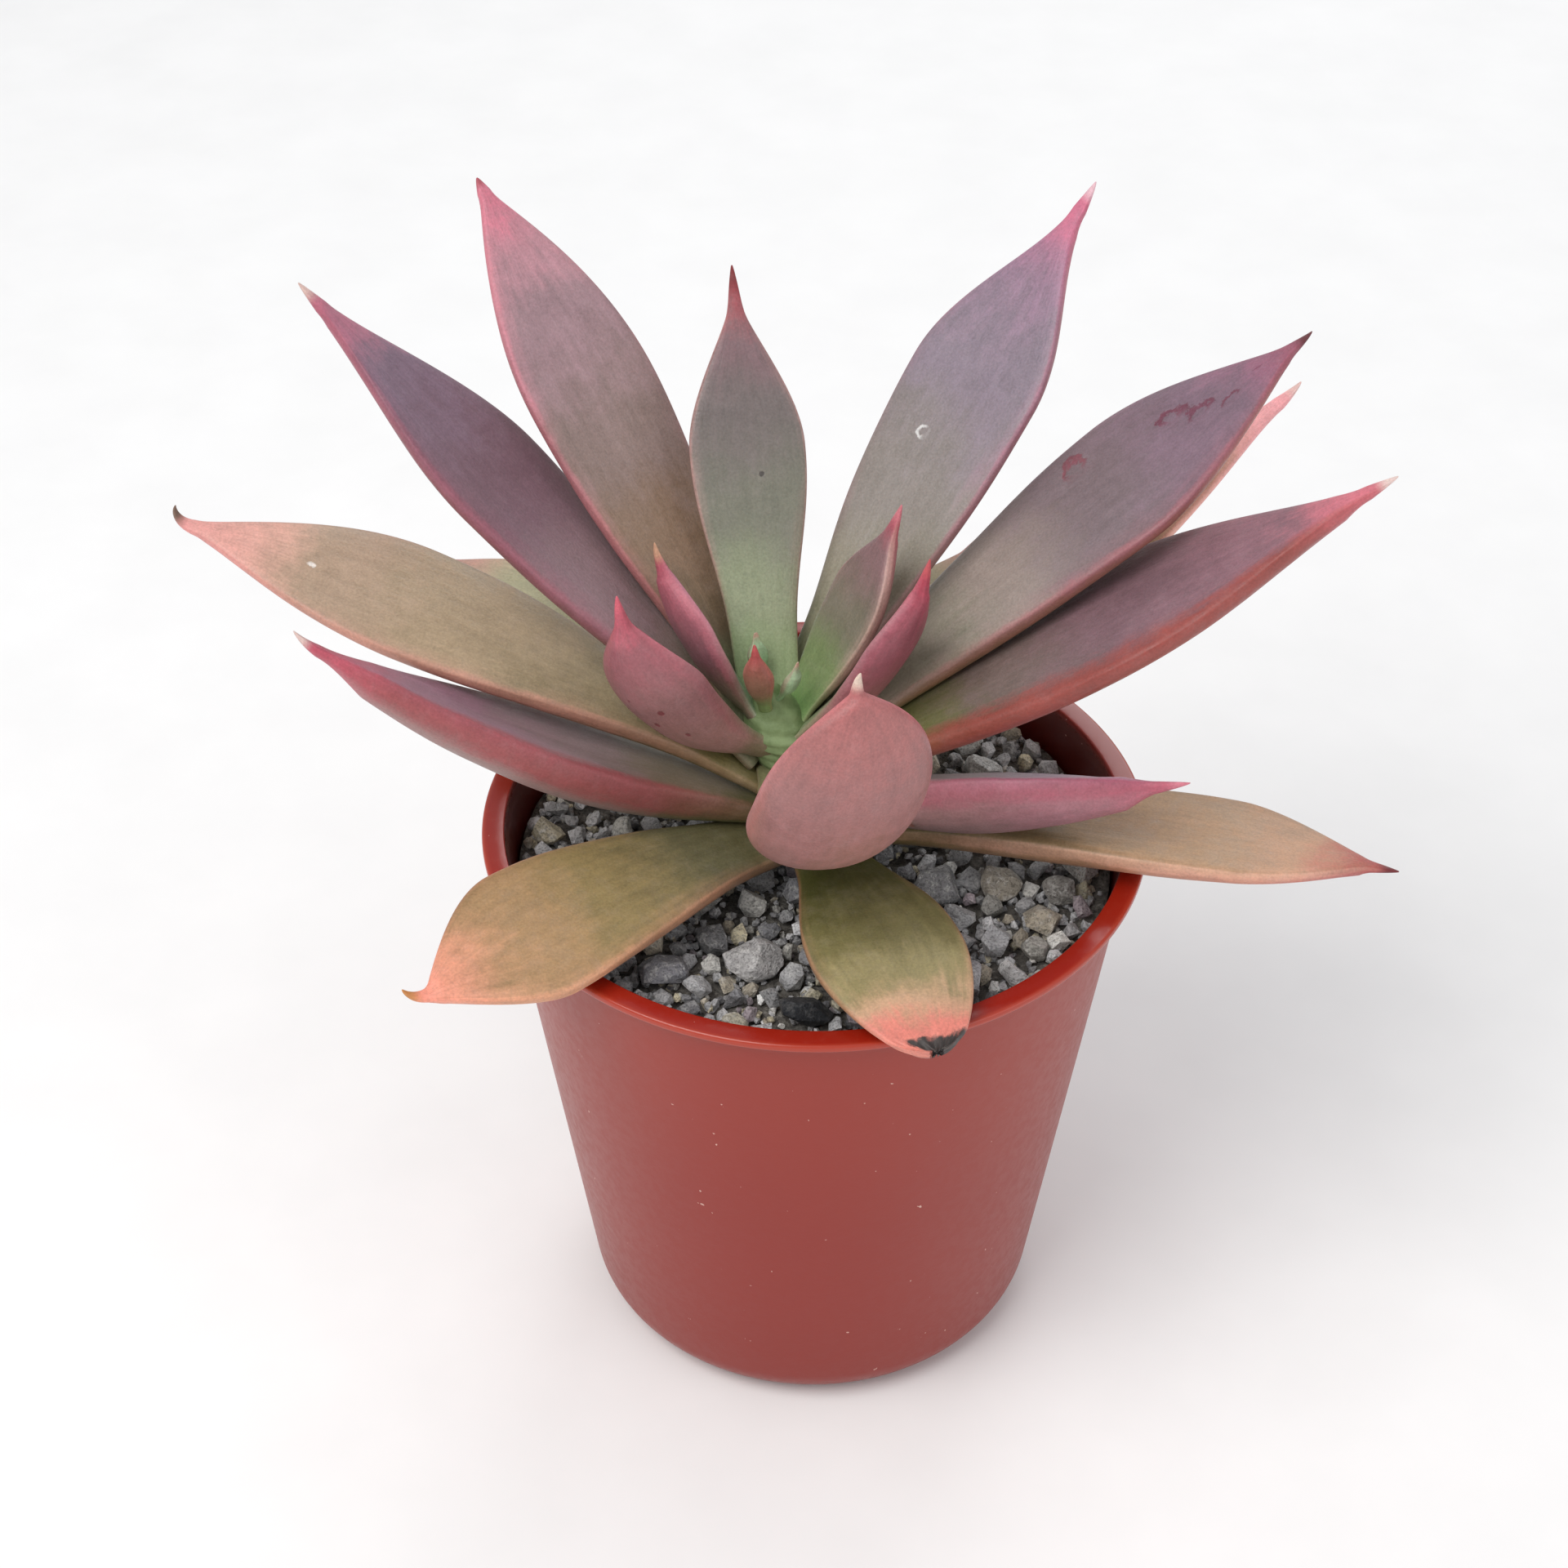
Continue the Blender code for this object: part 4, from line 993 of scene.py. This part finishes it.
POT_STEPS = 288
POT_LIP = 0.8  # height of the rim band, in mm as are the next four
POT_BASE_RADIUS = 23.0
POT_CORNER = 5.0
POT_WALL = 0.9
POT_FLOOR = 1.2
LIP_OVERHANG = 1.4
DRAIN_HOLES = 4
FIRST_HOLE_TURN = -87.0  # degrees
HOLE_RADIUS = 0.003  # the cutters' sizes are in metres
HOLE_DEPTH = 0.006
HOLE_OUT = 0.012  # from the axis
SLOT_SIZE = (0.023, 0.0085, 0.0008)
SLOT_OUT = 0.0235
SLOT_EDGE = 0.0003
POT_LEAN = (RIM_RADIUS - LIP_OVERHANG - POT_BASE_RADIUS) * MM / POT_TOP  # how much it widens with height
WITHIN_WALL = 0.0228  # a radius at the ground that lies in the wall, and so parts its inside from its outside


def pot_profile():
    """The pot's line from the middle of the floor, up the inside, over the rim band and down the outside."""
    top, rim, band, lip = POT_TOP / MM, RIM_RADIUS, RIM_BAND, POT_LIP
    base, corner, wall, floor = POT_BASE_RADIUS, POT_CORNER, POT_WALL, POT_FLOOR
    lean = math.atan2(rim - LIP_OVERHANG - base, top)

    def outer(z):
        return base + math.tan(lean) * z

    def inside(z):
        return outer(z) - wall / math.cos(lean)

    middle = outer(corner * (1 - math.sin(lean))) - corner * math.cos(lean)
    line = [(0.0, floor)]
    inner = corner - wall
    for angle in np.linspace(0.38 - math.pi / 2, -lean, 8):
        line.append((middle + inner * math.cos(angle), max(floor, corner + inner * math.sin(angle))))
    line += [(inside(z), z) for z in (8.0, 20.0, 35.0, 50.0, top - lip - 1.4)]
    line += [(inside(top - lip) - 0.05, top - lip - 0.3), (rim - band, top - lip + 0.1)]
    line += rounded((rim - band, top), 0.18, (0, -1), (1, 0)) + rounded((rim, top), 0.28, (-1, 0), (0, -1))
    line += rounded((rim, top - lip), 0.22, (0, 1), (-1, 0))
    join = (outer(top - lip - 0.25), top - lip - 0.25)
    line += [(join[0] + 0.25, top - lip), (join[0] + 0.07, top - lip - 0.06), join]
    line += [(outer(z), z) for z in np.linspace(top - 3, 8.0, 12)]
    turning = np.linspace(-lean, -math.pi / 2, 14)
    line += [(middle + corner * math.cos(a), corner + corner * math.sin(a)) for a in turning]
    return np.array(line + [(middle * 0.5, 0.0), (0.0, 0.0)])


def rounded(corner, radius, arriving, leaving, steps=4):
    """A quarter circle at a square corner, from the side that arrives at it to the side that leaves it."""
    corner, arriving, leaving = np.array(corner), np.array(arriving), np.array(leaving)
    centre = corner + radius * (arriving + leaving)
    angles = np.linspace(0, math.pi / 2, steps)
    return [tuple(centre - radius * (np.cos(a) * leaving + np.sin(a) * arriving)) for a in angles]


def make_pot():
    """The pot: its profile carried once round the axis, with the drain holes and the slots under them cut."""
    line = pot_profile() * MM
    turn = np.linspace(0, 2 * np.pi, POT_STEPS, endpoint=False)
    body = line[1:-1]
    rings = np.stack([body[:, :1] * np.cos(turn), body[:, :1] * np.sin(turn), body[:, 1:] + 0 * turn], -1)
    points = np.concatenate([rings.reshape(-1, 3), [[0, 0, line[0, 1]], [0, 0, line[-1, 1]]]])
    faces = [face[::-1] for face in tube_faces(len(body), POT_STEPS)]
    mesh = mesh_of("pot_moulding", points, faces)
    shape = bmesh.new()
    shape.from_mesh(mesh)
    bmesh.ops.recalc_face_normals(shape, faces=shape.faces)
    shape.to_mesh(mesh)
    shape.free()
    holder = bpy.data.objects.new("pot_blank", mesh)
    bpy.context.scene.collection.objects.link(holder)
    cutters = [pot_cutter(holder, step) for step in range(2 * DRAIN_HOLES)]
    bpy.context.view_layer.update()
    cut = bpy.data.meshes.new_from_object(holder.evaluated_get(bpy.context.evaluated_depsgraph_get()))
    for spare in [holder, *cutters]:
        bpy.data.objects.remove(spare)
    cut.name = "pot_moulding"
    cut.materials.clear()
    cut.shade_smooth()
    cut.set_sharp_from_angle(angle=math.radians(40))
    add_piece("pot_moulding", cut, pot_plastic(), ["pot"])


def pot_cutter(holder, step):
    """A slot that runs out to the edge where the step is even, and the drain hole over it where it is odd."""
    angle = 2 * math.pi * (step // 2) / DRAIN_HOLES + math.radians(FIRST_HOLE_TURN)
    shape = bmesh.new()
    if step % 2:
        bmesh.ops.create_cone(shape, cap_ends=True, segments=48, radius1=HOLE_RADIUS, radius2=HOLE_RADIUS,
                              depth=HOLE_DEPTH)
        away = HOLE_OUT
    else:
        bmesh.ops.create_cube(shape, size=1.0)
        bmesh.ops.scale(shape, verts=shape.verts, vec=SLOT_SIZE)
        long_edges = [e for e in shape.edges if abs((e.verts[0].co - e.verts[1].co).x) > SLOT_SIZE[0] / 2]
        bmesh.ops.bevel(shape, geom=long_edges, offset=SLOT_EDGE, segments=3, affect="EDGES")
        away = SLOT_OUT
    mesh = bpy.data.meshes.new("cutter")
    shape.to_mesh(mesh)
    shape.free()
    cutter = bpy.data.objects.new("cutter", mesh)
    bpy.context.scene.collection.objects.link(cutter)
    cutter.location = (math.cos(angle) * away, math.sin(angle) * away, 0.0)
    cutter.rotation_euler.z = angle
    modifier = holder.modifiers.new("cut", "BOOLEAN")
    modifier.object, modifier.solver = cutter, "EXACT"
    return cutter


def pot_plastic():
    """Brick-red moulded plastic: a satin wall with faint flow and a few dust specks, and a glossier rim.
    Painted light: the wall lighter towards the rim, its inner face darker as painted shade, and a painted
    highlight along the rim's outer edge.
    """
    made, tree, shader = new_material("pot_plastic")
    where = place(tree)
    split = put(tree, "SeparateXYZ", Vector=where)
    x, y, z = (split.outputs[i] for i in range(3))
    drawn = put(tree, "CombineXYZ", X=maths(tree, "MULTIPLY", x, 60.0), Y=maths(tree, "MULTIPLY", y, 60.0),
                Z=maths(tree, "MULTIPLY", z, 12.0))
    flow = noise(tree, drawn.outputs["Vector"], 1.0, 4)
    film = noise(tree, where, 900, 4, 0.7)
    dust = noise(tree, where, 1250, 2, 0.5)
    # The wall's colour grows a little lighter towards the rim: painted light from above.
    height = summed(tree, maths(tree, "DIVIDE", z, POT_TOP), (centred(tree, flow), 0.25))
    wall = ramp(tree, height, ((0, (134, 27, 9)), (0.4, (138, 29, 11)), (0.95, (146, 38, 20))))
    out = maths(tree, "SQRT", maths(tree, "ADD", maths(tree, "POWER", x, 2.0), maths(tree, "POWER", y, 2.0)))
    rim = between(tree, z, POT_TOP - 0.0010, POT_TOP - 0.0006)
    # Painted highlight: the outermost 0.6 mm of the rim is lightened towards a pale orange-red.
    rim_edge_highlight = between(tree, out, (RIM_RADIUS - 0.6) * MM, RIM_RADIUS * MM, 0.0, 0.6)
    rim_colour = blend_colours(tree, rim_edge_highlight, tone(150, 30, 14), tone(178, 66, 44))
    colour = blend_colours(tree, rim, wall, rim_colour)
    # Painted shade: the inner face of the wall, from just over the floor to just under the rim, is darkened
    # to a deep maroon.
    from_foot = maths(tree, "SUBTRACT", out, maths(tree, "MULTIPLY", z, POT_LEAN))
    within = between(tree, from_foot, WITHIN_WALL, WITHIN_WALL - 0.0002)
    inside = maths(tree, "MULTIPLY", within, between(tree, z, 0.002, 0.004))
    inside = maths(tree, "MULTIPLY", inside, between(tree, z, POT_TOP - 0.0002, POT_TOP - 0.0010))
    colour = blend_colours(tree, inside, colour, tone(96, 22, 14))
    speck = between(tree, dust, 0.755, 0.775, 0.0, 0.7)
    colour = blend_colours(tree, speck, colour, tone(226, 190, 176))
    colour = blend_colours(tree, between(tree, film, 0.5, 0.8, 0.0, 0.04), colour, tone(190, 120, 104))
    tree.links.new(colour, shader.inputs["Base Color"])
    dull = between(tree, film, 0.35, 0.7, 0.33, 0.42)
    rough = maths(tree, "SUBTRACT", dull, maths(tree, "MULTIPLY", rim, 0.16))
    tree.links.new(rough, shader.inputs["Roughness"])
    shader.inputs["Subsurface Weight"].default_value = 0.03
    shader.inputs["Subsurface Radius"].default_value = (1.0, 0.25, 0.15)
    shader.inputs["Subsurface Scale"].default_value = 0.0012
    relief = maths(tree, "ADD", maths(tree, "MULTIPLY", film, 0.4), flow)
    finish_with_bump(tree, shader, relief, 0.12, 0.0003)
    return made


def soil_material():
    """Damp growing mix: dark crumbs with paler fibres."""
    made, tree, shader = new_material("growing_mix_crumb")
    where = place(tree)
    crumb = noise(tree, where, 800, 6, 0.75)
    tree.links.new(ramp(tree, crumb, ((0.3, (22, 16, 12)), (0.55, (52, 38, 28)), (0.78, (104, 84, 62)))),
                   shader.inputs["Base Color"])
    shader.inputs["Roughness"].default_value = 0.95
    finish_with_bump(tree, shader, crumb, 1.0, 0.001)
    return made


# Floor, light and camera


FLOOR_REACH = 3.0


def make_floor():
    """A wide flat square on the ground, of pale paper."""
    corners = np.array([(-1, -1, 0), (1, -1, 0), (1, 1, 0), (-1, 1, 0)], float) * FLOOR_REACH
    mesh = mesh_of("floor", corners, [(0, 1, 2, 3)], smooth=False)
    made, tree, shader = new_material("floor_paper")
    paper = noise(tree, place(tree), 60, 3)
    pale = ramp(tree, paper, ((0, (238, 238, 238)), (1, (244, 244, 244))))
    tree.links.new(pale, shader.inputs["Base Color"])
    shader.inputs["Roughness"].default_value = 0.9
    shader.inputs["Specular IOR Level"].default_value = 0.1
    mesh.materials.append(made)
    floor = bpy.data.objects.new("floor", mesh)
    bpy.context.scene.collection.objects.link(floor)


def area_light(name, size, power, spot, towards, colour=(1, 1, 1)):
    light = bpy.data.lights.new(name, "AREA")
    light.shape, light.size, light.energy, light.color = "DISK", size, power, colour
    lamp = bpy.data.objects.new(name, light)
    lamp.location = spot
    lamp.rotation_euler = (Vector(towards) - Vector(spot)).to_track_quat("-Z", "Y").to_euler()
    bpy.context.scene.collection.objects.link(lamp)


def make_light():
    world = bpy.data.worlds.new("studio")
    world.use_nodes = True
    world.node_tree.nodes["Background"].inputs["Color"].default_value = (0.97, 0.98, 1.0, 1.0)
    world.node_tree.nodes["Background"].inputs["Strength"].default_value = 0.62
    bpy.context.scene.world = world
    middle = (0, 0, 0.06)
    area_light("key", size=0.5, power=3.1, spot=(-0.30, -0.28, 0.62), towards=middle,
               colour=(1.0, 0.985, 0.96))
    area_light("fill", size=0.6, power=0.9, spot=(0.55, -0.40, 0.30), towards=middle)
    area_light("back", size=0.4, power=0.9, spot=(0.15, 0.55, 0.45), towards=middle)


CAMERA_RISE = 39.0  # degrees that the view looks down
CAMERA_REACH = 298.0  # from the point it looks at, in mm
CAMERA_LENS = 70.5  # in mm, as is the width of the sensor
CAMERA_SENSOR = 36.0
CAMERA_AIM = (-3.0, 0.0, 64.0)


def make_camera():
    data = bpy.data.cameras.new("view")
    data.sensor_width, data.lens, data.clip_start = CAMERA_SENSOR, CAMERA_LENS, 0.01
    camera = bpy.data.objects.new("view", data)
    aim = Vector(CAMERA_AIM) * MM
    down = math.radians(CAMERA_RISE)
    back = Vector((-CAMERA_AIM[0], -math.cos(down) * CAMERA_REACH, math.sin(down) * CAMERA_REACH))
    camera.location = aim + back * MM
    camera.rotation_euler = (aim - camera.location).to_track_quat("-Z", "Y").to_euler()
    bpy.context.scene.collection.objects.link(camera)
    bpy.context.scene.camera = camera
    bpy.context.scene.view_settings.view_transform = "Standard"


make_camera()
make_light()
make_floor()
make_pot()
make_grit()
make_stem()
make_leaves()
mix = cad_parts["growing_mix"]
if not mix.material_slots:
    mix.data.materials.append(None)
mix.material_slots[0].material = soil_material()
